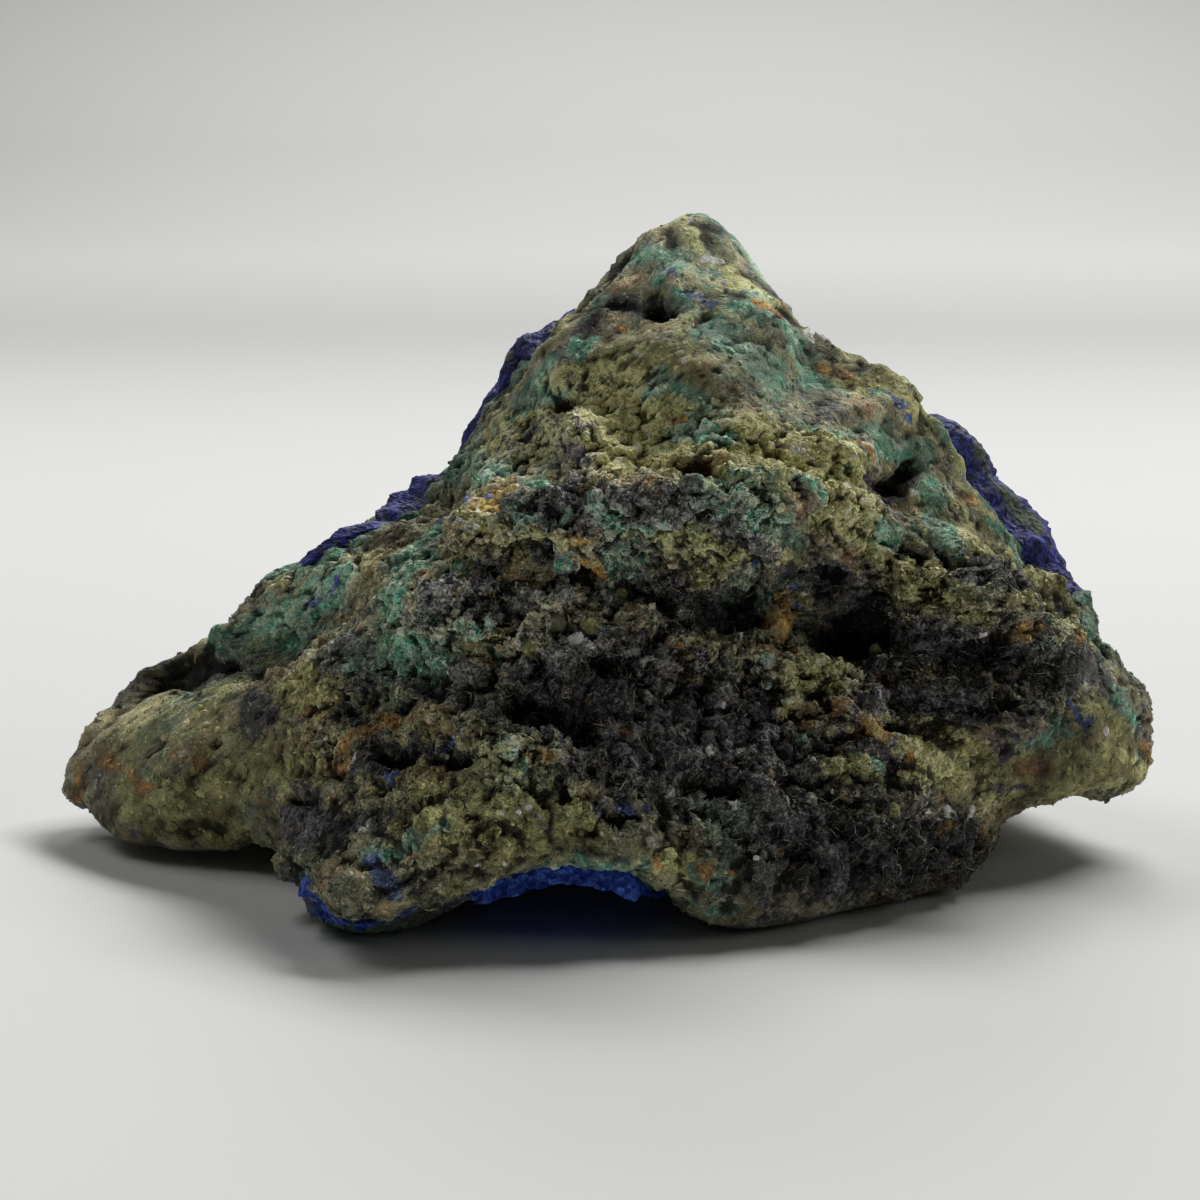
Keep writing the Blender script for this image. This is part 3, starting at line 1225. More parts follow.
class StoneForm:
    """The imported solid's form as a smooth radius for every direction from the heart.

    The radius is the mean of the solid's own corner radii, weighted by exp(-(angle/SPREAD)^2 / 2);
    adding back once what that mean loses keeps the peaks and ledges. It is worked out on a table,
    a divided cube blown up to a ball, and blended between the table's points.
    """

    SPREAD = 0.034  # radians, half a facet
    ROWS = 72  # squares along each side of the table's cube

    def __init__(self, node: bpy.types.Object) -> None:
        """Reads the solid's corners and fills the table.

        Args:
            node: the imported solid.
        """
        flat = np.empty(len(node.data.vertices) * 3, np.float32)
        node.data.vertices.foreach_get("co", flat)
        corners = np.unique(np.round(flat.reshape(-1, 3).astype(float) / MM, 3), axis=0)
        arms = (corners - HEART) / HALF_SIZES
        radii = np.linalg.norm(arms, axis=1)
        arms /= radii[:, None]
        radii = 2.0 * radii - self.mean(arms, arms, radii)
        sheets = [self.mean(unit(sheet.reshape(-1, 3)), arms, radii) for sheet in cube_sheets(self.ROWS)]
        self.table = np.reshape(sheets, (6, self.ROWS + 1, self.ROWS + 1))

    def mean(self, wanted: Array, arms: Array, radii: Array) -> Array:
        """The weighted mean of the radii in each wanted direction.

        Args:
            wanted: (n, 3) unit directions.
            arms: (m, 3) unit directions of the corners.
            radii: (m,) of the corners.

        Returns:
            Radii (n,).
        """
        steep = np.float32(1.0 / self.SPREAD**2)
        weights = wanted.astype(np.float32) @ arms.T.astype(np.float32)
        weights = np.exp((weights - np.float32(1.0)) * steep) + np.float32(1e-30)
        return (weights @ radii.astype(np.float32)) / weights.sum(axis=1)

    def places(self, directions: Array) -> Array:
        """Finds the form's points, blended between the table's four nearest.

        Args:
            directions: unit directions in stretched space, (n, 3).

        Returns:
            Places (n, 3).
        """
        rows = np.arange(len(directions))
        axis = np.abs(directions).argmax(axis=1)
        main = directions[rows, axis]
        side = axis + 3 * (main < 0.0)
        spots = []
        for k in (1, 2):
            ratio = directions[rows, (axis + k) % 3] / np.abs(main)
            spots.append((np.arctan(ratio) * 4.0 / math.pi + 1.0) * self.ROWS / 2.0)
        i, j = (np.clip(spot.astype(int), 0, self.ROWS - 1) for spot in spots)
        u, v = spots[0] - i, spots[1] - j
        near = self.table[side, i, j] * (1 - v) + self.table[side, i, j + 1] * v
        far = self.table[side, i + 1, j] * (1 - v) + self.table[side, i + 1, j + 1] * v
        radii = near * (1 - u) + far * u
        return HEART + directions * radii[:, None] * HALF_SIZES


@dataclass
class StoneSkin:
    """The stone's visible surface, one closed grid.

    Attributes:
        form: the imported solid's form.
        squares: along each side of the blown-up cube; 6 x squares^2 quads in all.
        pull: draws the squares to the front and the top.
        swells: spacing and height of the slow swells.
        block_sizes: spacing and height of each size of broken blocks.
        grit: spacing and height of the finest unevenness.
        pores: spacing and depth of the open pores.
        drift: spacing and length of the sideways shifts that undercut the blocks.
        base: the form's points, and base_normals the normals there.
        places: the carved points, and normals the normals there.
        shares: the point attributes.
    """

    form: StoneForm
    squares: int = 128
    pull: tuple[float, float, float] = (0.0, -0.45, 0.12)
    swells: tuple[float, float] = (6.0, 0.40)
    block_sizes: tuple[tuple[float, float], ...] = ((4.2, 0.80), (1.9, 0.50), (0.95, 0.30))
    grit: tuple[float, float] = (0.50, 0.16)
    pores: tuple[float, float] = (1.5, 0.60)
    drift: tuple[float, float] = (1.1, 0.30)
    quads: Array = field(init=False)
    base: Array = field(init=False)
    base_normals: Array = field(init=False)
    places: Array = field(init=False)
    normals: Array = field(init=False)
    shares: dict[str, Array] = field(init=False)

    def __post_init__(self) -> None:
        """Lays the grid on the form."""
        directions, self.quads = cube_sphere(self.squares, self.pull)
        self.base = self.form.places(directions)
        self.base_normals = vertex_normals(self.base, self.quads)

    def carve(self, landing: Landing) -> None:
        """Works the broken relief into the skin, and works out its point attributes.

        Named relief, blocks and pores add up, the last two as strongly as the zone is rough. All
        fades out under the crusts and at the feet.

        Args:
            landing: puts pixels onto the form.
        """
        base = self.base
        rough, pale = self.zones(landing)
        fine_grid = smooth_step(16.0, 4.0, base[:, 1])
        spacing, rise = self.swells
        height = rise * fractal(base, spacing, 2, 5)
        for number, (spacing, rise) in enumerate(self.block_sizes):
            share = 1.0 if number == 0 else 0.25 + 0.75 * fine_grid
            height += share * rise * blocks(base, spacing, 11 + 20 * number)
        spacing, rise = self.grit
        height += rise * gradient_noise(base, spacing, 93)
        spacing, depth = self.pores
        cells = cell_pattern(base + 0.5 * wander(base, 1.2, 89), spacing, 29)
        hole = smooth_step(0.60, 0.68, cells.value) * smooth_step(0.42, 0.18, cells.nearest)
        hole = depth * np.minimum(rough + 0.15, 1.0) * (hole * fine_grid)
        height = self.named_relief(landing) + rough * height - hole
        height *= 1.0 - 0.8 * smooth_step(-0.1, 0.3, share_inside(base, ALL_RUNS))
        free = smooth_step(0.0, 3.0, base[:, 2])
        height *= free
        spacing, far = self.drift
        sideways = wander(base, spacing, 97) * (far * rough * free)[:, None]
        self.places = base + self.base_normals * height[:, None] + sideways
        self.places[:, 2] = np.maximum(self.places[:, 2], 0.0)
        self.normals = vertex_normals(self.places, self.quads)
        close, wide = (height - even_out(height, self.quads, rounds) for rounds in (8, 80))
        tint = 0.5 * pale * (1.0 + 0.55 * fractal(base, 3.0, 3, 101))
        raised = np.clip(0.5 + 1.5 * close + 0.5 * wide, 0.0, 1.0)
        self.shares = Deposits(landing).shares(base, self.base_normals)
        self.shares[RELIEF] = np.stack([raised, np.clip(tint, 0.1, 2.0), rough], axis=1)

    def named_relief(self, landing: Landing) -> Array:
        """Adds up the named ledges, falling off as exp(-(distance/width)^4), and hollows, to the 6th.

        Args:
            landing: puts pixels onto the form.

        Returns:
            Height at every point, (n,).
        """
        named = np.zeros(len(self.base))
        for carving in CARVINGS.values():
            first, last, reach = landing.run(carving)
            rise = carving[-1]
            ragged = 1.0 + 0.35 * gradient_noise(self.base, reach * 0.9, 71)
            away = capsule_distance(self.base, first, last) / (reach * ragged)
            named += rise * np.exp(-np.minimum(away, 2.0) ** (6 if rise < 0.0 else 4))
        return named

    def zones(self, landing: Landing) -> tuple[Array, Array]:
        """Blends the zones' values, each weighted by exp(-(distance/width)^2).

        Args:
            landing: puts pixels onto the form.

        Returns:
            How broken and how pale the surface is at every point, (n,) each.
        """
        weight = np.full(len(self.base), 0.15)
        total = weight[:, None] * np.array((0.5, 1.0))
        for zone in ZONES.values():
            first, last, reach = landing.run(zone)
            share = np.exp(-((capsule_distance(self.base, first, last) / reach) ** 2))
            total += share[:, None] * np.array(zone[5:])
            weight += share
        rough, pale = (total / weight[:, None]).T
        return rough, pale

    def scatter(
        self, density: Array, count: int, dice: np.random.Generator
    ) -> tuple[Array, Array, dict[str, Array]]:
        """Picks spots on the skin, as often as area times density says.

        Args:
            density: wanted spots per area at each point, in any unit.
            count: how many spots.
            dice: a seeded random generator.

        Returns:
            The spots' places and normals, (count, 3), and their point attributes.
        """
        corner = self.places[self.quads]
        across, up = corner[:, 2] - corner[:, 0], corner[:, 3] - corner[:, 1]
        area = np.linalg.norm(np.cross(across, up), axis=1)
        chance = np.cumsum(area * density[self.quads].mean(axis=1))
        chosen = self.quads[np.searchsorted(chance, dice.random(count) * chance[-1])]
        u, v = dice.random((2, count, 1))
        weights = [(1 - u) * (1 - v), u * (1 - v), u * v, (1 - u) * v]

        def mixed(values: Array) -> Array:
            """Blends the four corners' values."""
            return sum(weight * values[chosen[:, k]] for k, weight in enumerate(weights))

        shares = {name: mixed(values) for name, values in self.shares.items()}
        return mixed(self.places), unit(mixed(self.normals)), shares


def grain_shape() -> tuple[Array, Array]:
    """An icosahedron of radius 1.

    Returns:
        12 corners and 20 faces that face outwards.
    """
    golden = (1.0 + math.sqrt(5.0)) / 2.0
    corners = np.array(
        [
            (-1, golden, 0), (1, golden, 0), (-1, -golden, 0), (1, -golden, 0),
            (0, -1, golden), (0, 1, golden), (0, -1, -golden), (0, 1, -golden),
            (golden, 0, -1), (golden, 0, 1), (-golden, 0, -1), (-golden, 0, 1),
        ],
        float,
    )
    faces = np.array(
        [
            (0, 11, 5), (0, 5, 1), (0, 1, 7), (0, 7, 10), (0, 10, 11), (1, 5, 9), (5, 11, 4),
            (11, 10, 2), (10, 7, 6), (7, 1, 8), (3, 9, 4), (3, 4, 2), (3, 2, 6), (3, 6, 8),
            (3, 8, 9), (4, 9, 5), (2, 4, 11), (6, 2, 10), (8, 6, 7), (9, 8, 1),
        ]
    )
    return unit(corners), faces


def blade_shape() -> tuple[Array, Array]:
    """A six-cornered crystal blade of radius 1, its long axis along X: an octahedron.

    Returns:
        6 corners and 8 faces that face outwards.
    """
    corners = np.array([(1, 0, 0), (0, 1, 0), (-1, 0, 0), (0, -1, 0), (0, 0, 1), (0, 0, -1)], float)
    faces = np.array(
        [(0, 1, 4), (1, 2, 4), (2, 3, 4), (3, 0, 4), (1, 0, 5), (2, 1, 5), (3, 2, 5), (0, 3, 5)]
    )
    return corners, faces


@dataclass
class Crumbs:
    """Grains, shreds or crystals grown onto a surface, joined into one mesh.

    Each is a copy of one small shape with its corners jittered, stretched along a direction in the
    surface or standing up from it, and sunk a little into what it grows on.

    Attributes:
        name: the piece's name.
        count: how many.
        sizes: smallest and largest half length.
        slim: its half width and half height, as shares of the half length.
        upright: 0 lies in the surface, 1 stands on it.
        ragged: how much the corners are jittered.
        sunk: how deep its middle lies, as a share of its half height.
        paler: how much paler than the ground the grains are, at least and at most.
        seed: of its random generator.
        shape: corners and faces of one grain.
    """

    name: str
    count: int
    sizes: tuple[float, float]
    slim: tuple[float, float]
    upright: float
    ragged: float
    sunk: float
    paler: tuple[float, float]
    seed: int
    shape: tuple[Array, Array]

    def build(
        self, skin: StoneSkin, density: Array, finish: bpy.types.Material
    ) -> bpy.types.Object:
        """Scatters the grains over the skin. Each takes over the shares of its spot.

        Args:
            skin: what they grow on.
            density: wanted grains per area at each of the skin's points.
            finish: their material.

        Returns:
            The joined piece.
        """
        dice = np.random.default_rng(self.seed)
        spots, normals, shares = skin.scatter(density, self.count, dice)
        corners, faces = self.shape
        many, points = self.count, len(corners)
        small, large = self.sizes
        size = small * (large / small) ** (dice.random(many) ** 1.6)
        lean = unit(dice.normal(size=(many, 3)))
        lean -= normals * (lean * normals).sum(axis=1, keepdims=True)
        long_axis = unit(lean) * (1.0 - self.upright) + normals * self.upright
        long_axis = unit(long_axis + 0.35 * dice.normal(size=(many, 3)))
        side = unit(np.cross(normals + 0.2 * dice.normal(size=(many, 3)), long_axis))
        top = np.cross(long_axis, side)
        jitter = 1.0 + self.ragged * (dice.random((many, points, 1)) - 0.5)
        own = corners[None] * jitter * size[:, None, None]
        own = own * np.array((1.0, *self.slim))
        axes = np.stack([long_axis, side, top], axis=1)
        placed = np.einsum("npk,nkx->npx", own, axes) + spots[:, None]
        placed -= normals[:, None] * (self.sunk * size * self.slim[1])[:, None, None]
        placed[..., 2] = np.maximum(placed[..., 2], CLEAR)
        index = (faces[None] + points * np.arange(many)[:, None, None]).reshape(-1, 3)
        carried = {name: np.repeat(values, points, axis=0) for name, values in shares.items()}
        carried[RELIEF][:, 0] = np.clip(carried[RELIEF][:, 0] + 0.25, 0.0, 1.0)
        carried[RELIEF][:, 1] *= np.repeat(dice.uniform(*self.paler, many), points)
        return make_piece(self.name, placed.reshape(-1, 3), index, finish, carried, smooth=False)


@dataclass
class Fibres:
    """Thin curled threads on the stone, joined into one mesh.

    Each is a tube of three sides. Its path turns a little at every joint, mostly in the surface:
    heading(j) = heading(j - 1) + curl + chance.

    Attributes:
        name: the piece's name.
        count: how many.
        lengths: shortest and longest.
        thickness: least and greatest radius.
        curl: how much threads differ in how they turn at a joint, in radians.
        sway: how much chance turns one at a joint.
        lift: how much chance raises one off the surface at a joint.
        height: of a thread's middle above the surface.
        joints: points along each.
        seed: of its random generator.
    """

    name: str = "fibres"
    count: int = 1300
    lengths: tuple[float, float] = (0.8, 3.2)
    thickness: tuple[float, float] = (0.030, 0.055)
    curl: float = 0.35
    sway: float = 0.45
    lift: float = 0.22
    height: float = 0.06
    joints: int = 9
    seed: int = 4

    def build(
        self, skin: StoneSkin, density: Array, finish: bpy.types.Material
    ) -> bpy.types.Object:
        """Strews the fibres over the skin.

        Args:
            skin: what they lie on.
            density: wanted fibres per area at each of the skin's points.
            finish: their material.

        Returns:
            The joined piece.
        """
        dice = np.random.default_rng(self.seed)
        many, joints, sides = self.count, self.joints, 3
        spots, normal, shares = skin.scatter(density, many, dice)
        short, long = self.lengths
        step = short * (long / short) ** (dice.random((many, 1)) ** 1.5) / (joints - 1)
        along = unit(np.cross(normal, dice.normal(size=(many, 3))))
        across = np.cross(normal, along)
        turns = dice.normal(0.0, self.curl, (many, 1)) + dice.normal(0.0, self.sway, (many, joints))
        heading = np.cumsum(turns, axis=1)[..., None]
        rise = np.cumsum(dice.normal(0.0, self.lift, (many, joints)), axis=1)[..., None]
        ways = np.cos(heading) * along[:, None] + np.sin(heading) * across[:, None]
        ways = unit(ways + rise * normal[:, None])
        middle = np.cumsum(ways * step[..., None], axis=1)
        middle -= middle.mean(axis=1, keepdims=True)
        middle += spots[:, None] + self.height * normal[:, None]
        taper = np.sin(np.linspace(0.18, math.pi - 0.18, joints)) ** 0.5
        radius = (dice.uniform(*self.thickness, (many, 1)) * taper)[..., None, None]
        side = unit(np.cross(ways, normal[:, None]))
        top = np.cross(side, ways)
        angles = (np.arange(sides) * math.tau / sides)[:, None]
        round_it = np.cos(angles) * top[:, :, None] + np.sin(angles) * side[:, :, None]
        rings = middle[:, :, None] + radius * round_it
        rings[..., 2] = np.maximum(rings[..., 2], CLEAR)
        index = np.arange(many * joints * sides).reshape(many, joints, sides)
        ahead = np.roll(index, -1, axis=2)
        near, far, near_ahead, far_ahead = index[:, :-1], index[:, 1:], ahead[:, :-1], ahead[:, 1:]
        walls = np.stack([near, near_ahead, far_ahead, near, far_ahead, far], axis=-1).reshape(-1, 3)
        faces = np.concatenate([walls, index[:, 0, ::-1], index[:, -1]])
        points = joints * sides
        carried = {name: np.repeat(values, points, axis=0) for name, values in shares.items()}
        for name in (DARK, BRIGHT):
            carried[name] *= 0.6
        carried[RELIEF][:, 0] = 0.9
        carried[RELIEF][:, 1] = np.repeat(dice.uniform(0.5, 1.1, many), points)
        return make_piece(self.name, rings.reshape(-1, 3), faces, finish, carried, smooth=False)


def ball_shape() -> tuple[Array, Array]:
    """A sphere of radius 1: an icosahedron with every face cut into four.

    Returns:
        42 corners and 80 faces that face outwards.
    """
    corners, faces = grain_shape()
    kinds, which = np.unique(np.sort(edges_of(faces), axis=1), axis=0, return_inverse=True)
    middles = unit(corners[kinds].mean(axis=1))
    ab, bc, ca = (which.reshape(-1, 3) + len(corners)).T
    a, b, c = faces.T
    cut = [(a, ab, ca), (ab, b, bc), (ca, bc, c), (ab, bc, ca)]
    return np.concatenate([corners, middles]), np.concatenate([np.stack(f, axis=1) for f in cut])


# Single balls and chips: x, y and radius in pixels, mineral, and paleness.
Nodule = tuple[float, float, float, Mineral | None, float]
NODULES: dict[str, Nodule] = dict(
    olive_by_pink=(530, 648, 10, Mineral.OLIVE, 0.48), brown=(555, 625, 11, None, 0.40),
    olive_middle=(590, 628, 10, Mineral.OLIVE, 0.48), pink=(573, 642, 8, Mineral.PALE, 0.42),
    rimmed=(470, 643, 10, Mineral.OLIVE, 0.45), olive_upper=(620, 595, 8, Mineral.OLIVE, 0.45),
    slate=(637, 808, 9, None, 0.38), slate_left=(540, 825, 7, None, 0.36),
    lip_bead=(804, 451, 4, Mineral.PALE, 0.55), olive_low=(895, 812, 8, Mineral.OLIVE, 0.40),
    grey=(810, 800, 8, None, 0.55), rust_bead=(680, 645, 5, Mineral.RUST, 0.60),
    cream_bead=(662, 632, 6, Mineral.PALE, 0.50), boss_bead=(983, 633, 6, Mineral.PALE, 0.48),
    lobe_bead=(1106, 732, 5, Mineral.PALE, 0.50), cavity=(875, 645, 7, Mineral.OLIVE, 0.38),
)
CHIPS: dict[str, Nodule] = dict(
    by_pink=(521, 634, 4, Mineral.PALE, 0.62), front=(520, 812, 4, Mineral.PALE, 0.62),
    right=(945, 808, 5, Mineral.PALE, 0.55), far_right=(970, 808, 5, Mineral.PALE, 0.55),
    peak=(720, 262, 4, Mineral.PALE, 0.62), below_peak=(725, 283, 4, Mineral.PALE, 0.62),
    foot_left=(478, 864, 3, Mineral.PALE, 0.60), foot=(505, 862, 3, Mineral.PALE, 0.60),
    foot_right=(755, 858, 4, Mineral.PALE, 0.60),
)


@dataclass
class Nodules:
    """Single rounded balls or angular chips, each part sunk into the skin, joined into one mesh.

    Attributes:
        name: the piece's name.
        table: each one's place, size and mineral.
        shape: corners and faces of one.
        ragged: how much the corners are jittered.
        proud: how far its middle stands out of the skin, as a share of its radius.
        seed: of its random generator.
    """

    name: str
    table: dict[str, Nodule]
    shape: tuple[Array, Array]
    ragged: float
    proud: float
    seed: int

    def build(self, landing: Landing, finish: bpy.types.Material) -> bpy.types.Object:
        """Sets each one on the skin.

        Args:
            landing: puts pixels onto the carved skin.
            finish: the material.

        Returns:
            The joined piece.
        """
        dice = np.random.default_rng(self.seed)
        corners, faces = self.shape
        every, index, shares = [], [], []
        for number, (x, y, radius, mineral, pale) in enumerate(self.table.values()):
            place = landing.at((x, y))
            reach = landing.millimetres(radius, place)
            out = unit((place - HEART)[None])[0]
            own = corners * (1.0 + self.ragged * (dice.random((len(corners), 1)) - 0.5))
            own = own * dice.uniform(0.85, 1.12, 3)
            every.append(place + out * reach * self.proud + own * reach)
            index.append(faces + number * len(corners))
            share = np.zeros(len(Mineral))
            if mineral:
                share[mineral.value] = 1.0
            shares.append([(*share, 0.75, pale, 0.35)] * len(corners))
        values = np.concatenate(shares)
        carried = dict(zip((DARK, BRIGHT, RELIEF), np.split(values, 3, axis=1)))
        return make_piece(
            self.name, np.concatenate(every), np.concatenate(index), finish, carried, smooth=False
        )


@dataclass
class AzuriteCrust:
    """One azurite crust: a closed shell over part of the stone, crowded with crystals.

    Its grid is its own, denser where the crust is. The upper side stands above the form by the
    crust's thickness, which thins out at the rim, plus crystals: every cell of a random pattern is
    one flat, tilted face. The lower side lies inside the stone.

    Attributes:
        name: the piece's name.
        runs: where it grew.
        squares: of its blown-up cube.
        pull: towards the crust's middle.
        thickness: in its middle.
        facets: spacing and height of each size of crystal faces, and its random seed.
        slim_until: between these two X it thickens from a thin film to its full thickness.
        dusted: runs that grey-green dust covers.
        dust: how fully it does.
        swells: where it bulges: each (middle, reach, height).
    """

    FILM = 0.15  # thickness at the rim, in millimetres
    SUNK = 0.9  # how far the lower side lies inside the stone, in millimetres
    LOWEST = 0.35  # how close the crystals come to the table, in millimetres
    FOOT = 1.3  # no crust lies lower than this, in millimetres

    name: str
    runs: tuple[Run, ...]
    squares: int
    pull: tuple[float, float, float]
    thickness: float
    facets: tuple[tuple[float, float, int], ...]
    slim_until: tuple[float, float]
    dusted: tuple[Run, ...]
    dust: float
    swells: tuple[tuple[tuple[float, float, float], float, float], ...] = ()

    def build(self, form: StoneForm, finish: bpy.types.Material) -> bpy.types.Object:
        """Builds the shell.

        Args:
            form: the stone's form.
            finish: its material.

        Returns:
            The piece.
        """
        directions, quads = cube_sphere(self.squares, self.pull)
        middle = HEART + directions * HALF_SIZES
        wide = tuple((start, end, width * 4.0) for start, end, width in self.runs)
        near = share_inside(middle, wide) > -1.0  # the form is only worked out here
        used, quads = renumbered(quads[near[quads].any(axis=1)])
        places = form.places(directions[used])
        ragged = 0.22 * fractal(places, 3.0, 3, 201)
        ragged += 0.30 * smooth_step(10.0, 18.0, places[:, 1]) * fractal(places, 9.0, 2, 203)
        inside = share_inside(places, self.runs) + ragged
        kept = (inside[quads].min(axis=1) > 0.0) & (places[quads, 2].min(axis=1) > self.FOOT)
        used, quads = renumbered(quads[kept])
        places, inside = places[used], inside[used]
        arms = unit(places - HEART)
        full = smooth_step(0.0, 0.35, inside)
        slim = smooth_step(*self.slim_until, places[:, 0])
        lift = self.FILM + full * self.thickness * (0.25 + 0.75 * slim)
        for middle, reach, rise in self.swells:
            away = np.linalg.norm(places - np.array(middle), axis=1) / reach
            lift += full * rise * np.exp(-(away**2))
        for spacing, rise, seed in self.facets:
            lift += (0.3 + 0.7 * full) * rise * blocks(places, spacing, seed)
        down = np.maximum(-arms[:, 2], 1e-6)
        room = np.where(arms[:, 2] < 0.0, (places[:, 2] - self.LOWEST) / down, 99.0)
        upper = places + arms * np.minimum(lift, room)[:, None]
        lower = places - arms * self.SUNK
        rim = smooth_step(11.0, 16.0, places[:, 1]) * smooth_step(0.45, 0.0, inside)
        return self.closed(upper, lower, quads, rim, finish)

    def closed(
        self, upper: Array, lower: Array, quads: Array, rim: Array, finish: bpy.types.Material
    ) -> bpy.types.Object:
        """Joins the two sides by a wall of quads along every edge that only one face has.

        Args:
            upper: the outer side's points.
            lower: the inner side's points, in the same order.
            quads: the outer side's faces.
            rim: how dusty the crust's rim is at each of the points, 0 to 1.
            finish: the material.

        Returns:
            The piece.
        """
        edges = edges_of(quads)
        _, index, counts = np.unique(
            np.sort(edges, axis=1), axis=0, return_index=True, return_counts=True
        )
        first, last = edges[index[counts == 1]].T
        offset = len(upper)
        wall = np.stack([last, first, first + offset, last + offset], axis=1)
        faces = np.concatenate([quads, quads[:, ::-1] + offset, wall])
        places = np.concatenate([upper, lower])
        dust = self.dust * np.clip(share_inside(places, self.dusted), 0.0, 1.0)
        dust = np.maximum(dust, np.concatenate([rim, rim]))
        shares = {"dust": np.repeat(dust[:, None], 3, axis=1)}
        return make_piece(self.name, places, faces, finish, shares, smooth=False)


# -----------------------------------------
# The room


@dataclass(frozen=True)
class SoftLight:
    """A rectangular soft light that points at a place.

    Attributes:
        name: its name.
        place: in metres.
        aim: the place it points at, in metres.
        sides: its width and height, in metres.
        power: in watts.
    """

    name: str
    place: tuple[float, float, float]
    aim: tuple[float, float, float]
    sides: tuple[float, float]
    power: float

    def add(self) -> None:
        """Adds the light to the scene."""
        lamp = bpy.data.lights.new(self.name, "AREA")
        lamp.shape = "RECTANGLE"
        lamp.size, lamp.size_y = self.sides
        lamp.energy = self.power
        holder = bpy.data.objects.new(self.name, lamp)
        holder.location = self.place
        way = mathutils.Vector(self.aim) - mathutils.Vector(self.place)
        holder.rotation_euler = way.to_track_quat("-Z", "Y").to_euler()
        bpy.context.scene.collection.objects.link(holder)


STONE = (0.0, 0.0, 0.02)  # what the lights around the specimen point at, in metres
LIGHTS = (
    SoftLight("key_strip", (0.85, 1.23, 1.70), STONE, (1.70, 0.40), 45.0),
    SoftLight("left_strip", (-1.10, 0.79, 1.95), STONE, (1.10, 0.45), 8.6),
    SoftLight("low_back", (0.0, 1.82, 1.05), STONE, (1.10, 0.45), 10.8),
    SoftLight("right_fill", (2.0, -0.20, 1.0), STONE, (1.0, 1.0), 3.4),
    SoftLight("left_fill", (-1.5, 0.40, 1.60), STONE, (0.60, 0.60), 2.0),
    SoftLight("wall_wash", (0.0, 1.5, 0.6), (0.0, 2.5, 1.0), (2.6, 0.4), 3.2),
)


@dataclass(frozen=True)
class Studio:
    """A pale table that sweeps up into a pale wall, under soft lights.

    Attributes:
        width: of the sweep, in metres.
        front: where the table begins.
        back: where the wall stands.
        bend: radius of the sweep.
        height: of the wall.
        near: the paper on the table, sRGB.
        far: the paper towards the wall, sRGB.
        fade: from where to where along Y the one turns into the other, in metres.
        air: the room's own light, sRGB.
        glow: its strength.
    """

    width: float = 7.0
    front: float = -2.0
    back: float = 2.6
    bend: float = 1.3
    height: float = 3.0
    near: str = "#e4e4e2"
    far: str = "#afafad"
    fade: tuple[float, float] = (0.10, 0.62)
    air: str = "#f2f4f4"
    glow: float = 0.015

    def build(self) -> None:
        """Makes the sweep, the lights and the world."""
        steps = np.linspace(0.0, math.pi / 2.0, 24)
        depth = [self.front, *(self.back - self.bend + self.bend * np.sin(steps)), self.back]
        high = [0.0, *(self.bend - self.bend * np.cos(steps)), self.height]
        left = np.stack([np.full(len(depth), -self.width / 2), depth, high], axis=1)
        right = left * np.array((-1.0, 1.0, 1.0))
        count = len(depth)
        rows = np.arange(count - 1)
        faces = np.stack([rows, rows + count, rows + count + 1, rows + 1], axis=1)
        sweep = make_piece("table_sweep", np.concatenate([left, right]) / MM, faces, self.paper())
        for light in LIGHTS:
            light.add()
        world = bpy.data.worlds.new("room")
        bpy.context.scene.world = world
        world.use_nodes = True
        background = world.node_tree.nodes["Background"]
        background.inputs["Color"].default_value = linear(self.air)
        background.inputs["Strength"].default_value = self.glow
        bpy.context.scene.view_settings.view_transform = "Standard"

    def paper(self) -> bpy.types.Material:
        """Builds the sweep's paper, darker towards the wall.

        Returns:
            The material.
        """
        recipe = Recipe("pale_paper")
        away = recipe.add("SeparateXYZ", {0: recipe.place}, "Y")
        start, end = self.fade
        away = recipe.add("MapRange", {0: away, 1: start, 2: end}, **STEP)
        grey = recipe.add("Mix", shaded(away, self.near, self.far), **BLEND)
        return recipe.finished({"Base Color": grey, "Roughness": 0.9})


# -----------------------------------------
# Assembly


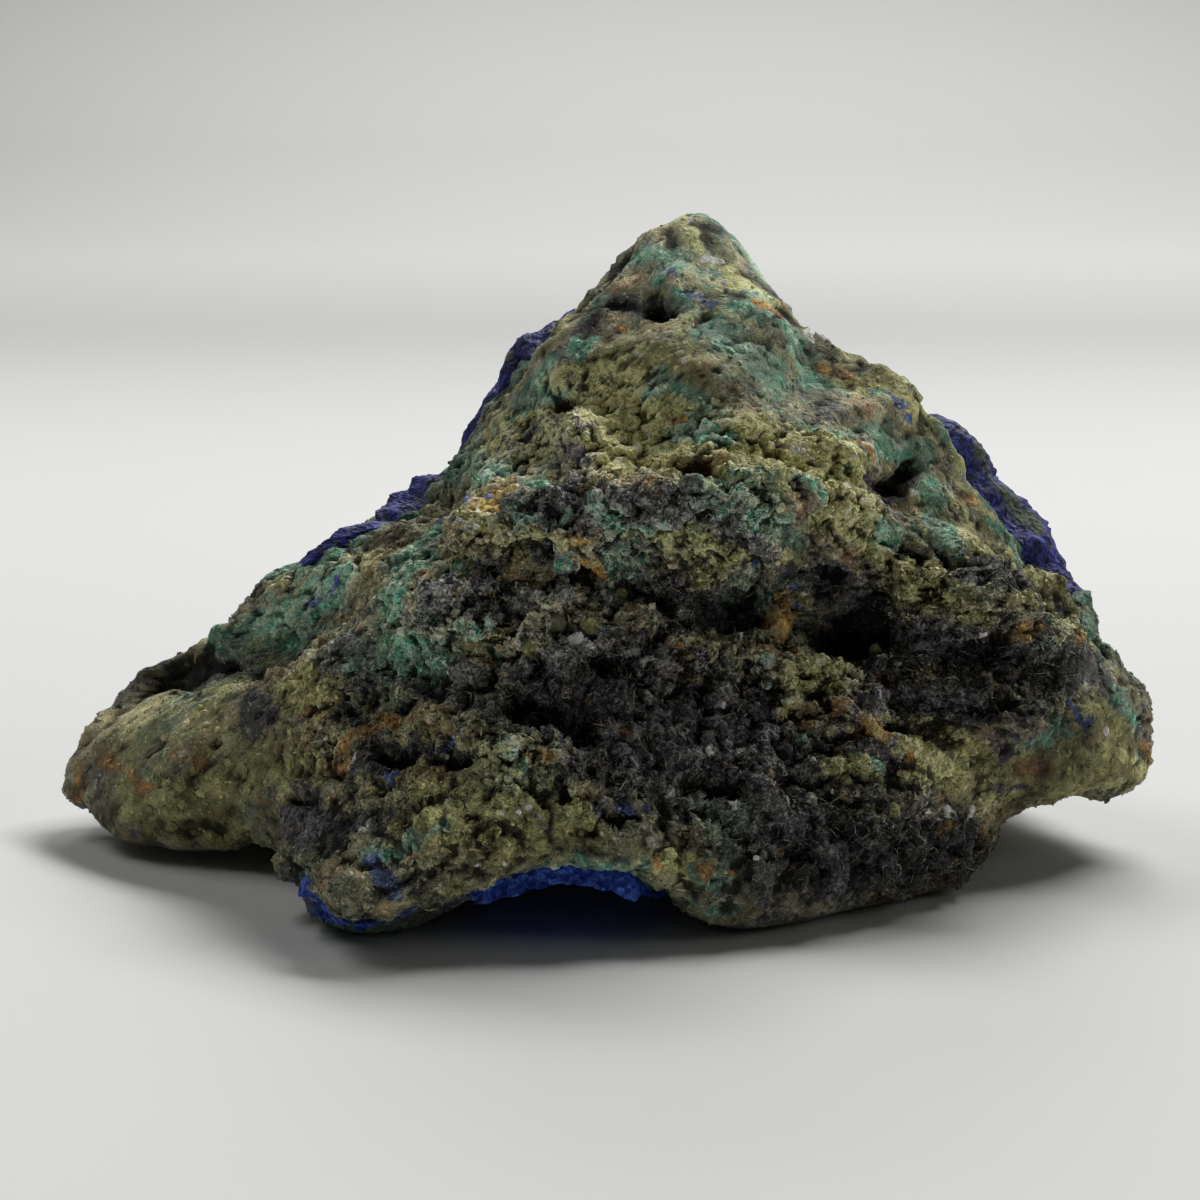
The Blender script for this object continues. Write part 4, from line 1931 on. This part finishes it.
@dataclass
class Specimen:
    """The whole specimen: skin, crumbs, crystals and crusts.

    Attributes:
        viewpoint: from where its named features are placed.
        back_share: how thick the grains lie at the back, as a share of the front.
    """

    viewpoint: Viewpoint = field(default_factory=Viewpoint)
    back_share: float = 0.15

    def build(self) -> None:
        """Builds every piece and says what it rides on and stands for."""
        form = StoneForm(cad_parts["matrix_rock"])
        skin = StoneSkin(form)
        skin.carve(Landing(self.viewpoint, skin.base))
        ore = OreFinish().material()
        stone = make_piece("stone_skin", skin.places, skin.quads, ore, skin.shares)
        self.attach(stone, "matrix_rock")
        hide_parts("matrix_rock")
        self.crumbs(skin)
        self.crusts(form)

    def crumbs(self, skin: StoneSkin) -> None:
        """Grows the grains, shreds, fibres and nodules onto the skin.

        Args:
            skin: the carved skin.
        """
        ore = OreFinish("ore_grains", grain=0.22, bump=0.08).material()
        raised, _, rough = skin.shares[RELIEF].T
        seen = smooth_step(12.0, -10.0, skin.base[:, 1]) * (1.0 - self.back_share) + self.back_share
        bare = 1.0 - smooth_step(-0.2, 0.1, share_inside(skin.base, ALL_RUNS))
        standing = smooth_step(0.5, 2.0, skin.places[:, 2])
        density = seen * bare * standing * (0.25 + 0.75 * rough)
        soot = smooth_step(0.42, 0.62, skin.shares[DARK][:, 0])
        outer = density * (0.15 + smooth_step(0.3, 0.7, raised))
        coarse = Crumbs(
            "crumbs_coarse", 5200, sizes=(0.22, 0.62), slim=(0.8, 0.6), upright=0.1, ragged=0.7,
            sunk=0.3, paler=(0.6, 1.4), seed=1, shape=grain_shape(),
        )
        fine = Crumbs(
            "crumbs_fine", 9600, sizes=(0.12, 0.30), slim=(0.8, 0.7), upright=0.2, ragged=0.7,
            sunk=0.2, paler=(0.6, 1.6), seed=2, shape=grain_shape(),
        )
        shreds = Crumbs(
            "shreds", 16000, sizes=(0.18, 0.50), slim=(0.26, 0.20), upright=0.12, ragged=0.5,
            sunk=0.1, paler=(0.8, 2.2), seed=3, shape=blade_shape(),
        )
        threaded = density * (0.15 + soot) * smooth_step(0.4, 0.9, rough)
        growths = ((coarse, density), (fine, outer), (shreds, outer * (0.4 + soot)), (Fibres(), threaded))
        for growth, chance in growths:
            self.attach(growth.build(skin, chance, ore), "matrix_rock")
        ground = Landing(self.viewpoint, skin.places)
        balls = Nodules("nodules", NODULES, ball_shape(), ragged=0.30, proud=-0.25, seed=6)
        chips = Nodules("chips", CHIPS, grain_shape(), ragged=0.60, proud=0.25, seed=7)
        for nodules in (balls, chips):
            self.attach(nodules.build(ground, ore), "matrix_rock")

    def crusts(self, form: StoneForm) -> None:
        """Grows the two azurite crusts.

        Args:
            form: what they lie on.
        """
        back = AzuriteCrust(
            "azurite_crust_back_druse",
            BACK_RUNS,
            squares=140,
            pull=(0.05, 0.35, 0.3),
            thickness=1.3,
            facets=((3.4, 0.30, 221), (1.3, 0.16, 231), (0.6, 0.07, 241)),
            slim_until=(-23.0, -19.0),
            dusted=(
                ((31.5, 7.0, 30.5), (35.5, 6.5, 24.5), 2.4),
                ((-6.4, 14.5, 38.0), (-7.5, 13.5, 34.5), 1.8),
            ),
            dust=1.0,
            swells=(
                ((-5.0, 15.4, 38.4), 4.5, 1.4),
                ((-12.0, 12.2, 31.5), 5.0, 0.5),
                ((-19.0, 8.4, 25.5), 3.2, 0.9),
                ((31.5, 8.4, 29.0), 6.0, 1.5),
            ),
        )
        below = AzuriteCrust(
            "azurite_crust_underside_druse",
            UNDERSIDE_RUNS,
            squares=260,
            pull=(-0.1, -0.5, -0.4),
            thickness=2.0,
            facets=((2.6, 0.34, 251), (1.1, 0.24, 261), (0.5, 0.10, 271)),
            slim_until=(-12.0, -7.0),
            dusted=(((-21.0, -21.0, 2.4), (-11.0, -25.9, 2.2), 6.0),),
            dust=0.80,
        )
        bright = AzuriteFinish("azurite_bright_druse", "#1a30a0", "#5a86ff", dusty=0.05)
        for crust, node, finish in (
            (back, "azurite_crust_back", AzuriteFinish()),
            (below, "azurite_crust_underside", bright),
        ):
            piece = crust.build(form, finish.material())
            self.attach(piece, node)
            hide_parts(node)

    @staticmethod
    def attach(piece: bpy.types.Object, slot: str) -> None:
        """Lets a piece ride on the specimen, names its finish's slot and reports it.

        Args:
            piece: any of the specimen's.
            slot: named after the node it belongs to.
        """
        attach(piece, BODY)
        mesh = piece.data
        log.info("%s: %d corners, %d faces", piece.name, len(mesh.vertices), len(mesh.polygons))


def write_sizes() -> None:
    """Writes the CAD box and the visual model's box."""
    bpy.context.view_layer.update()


def main() -> None:
    """Builds the specimen, the room and the camera."""
    logging.basicConfig(level=logging.INFO, format="%(message)s")
    specimen = Specimen()
    specimen.build()
    Studio().build()
    specimen.viewpoint.add_camera()
    write_sizes()


if __name__ == "__main__":
    main()
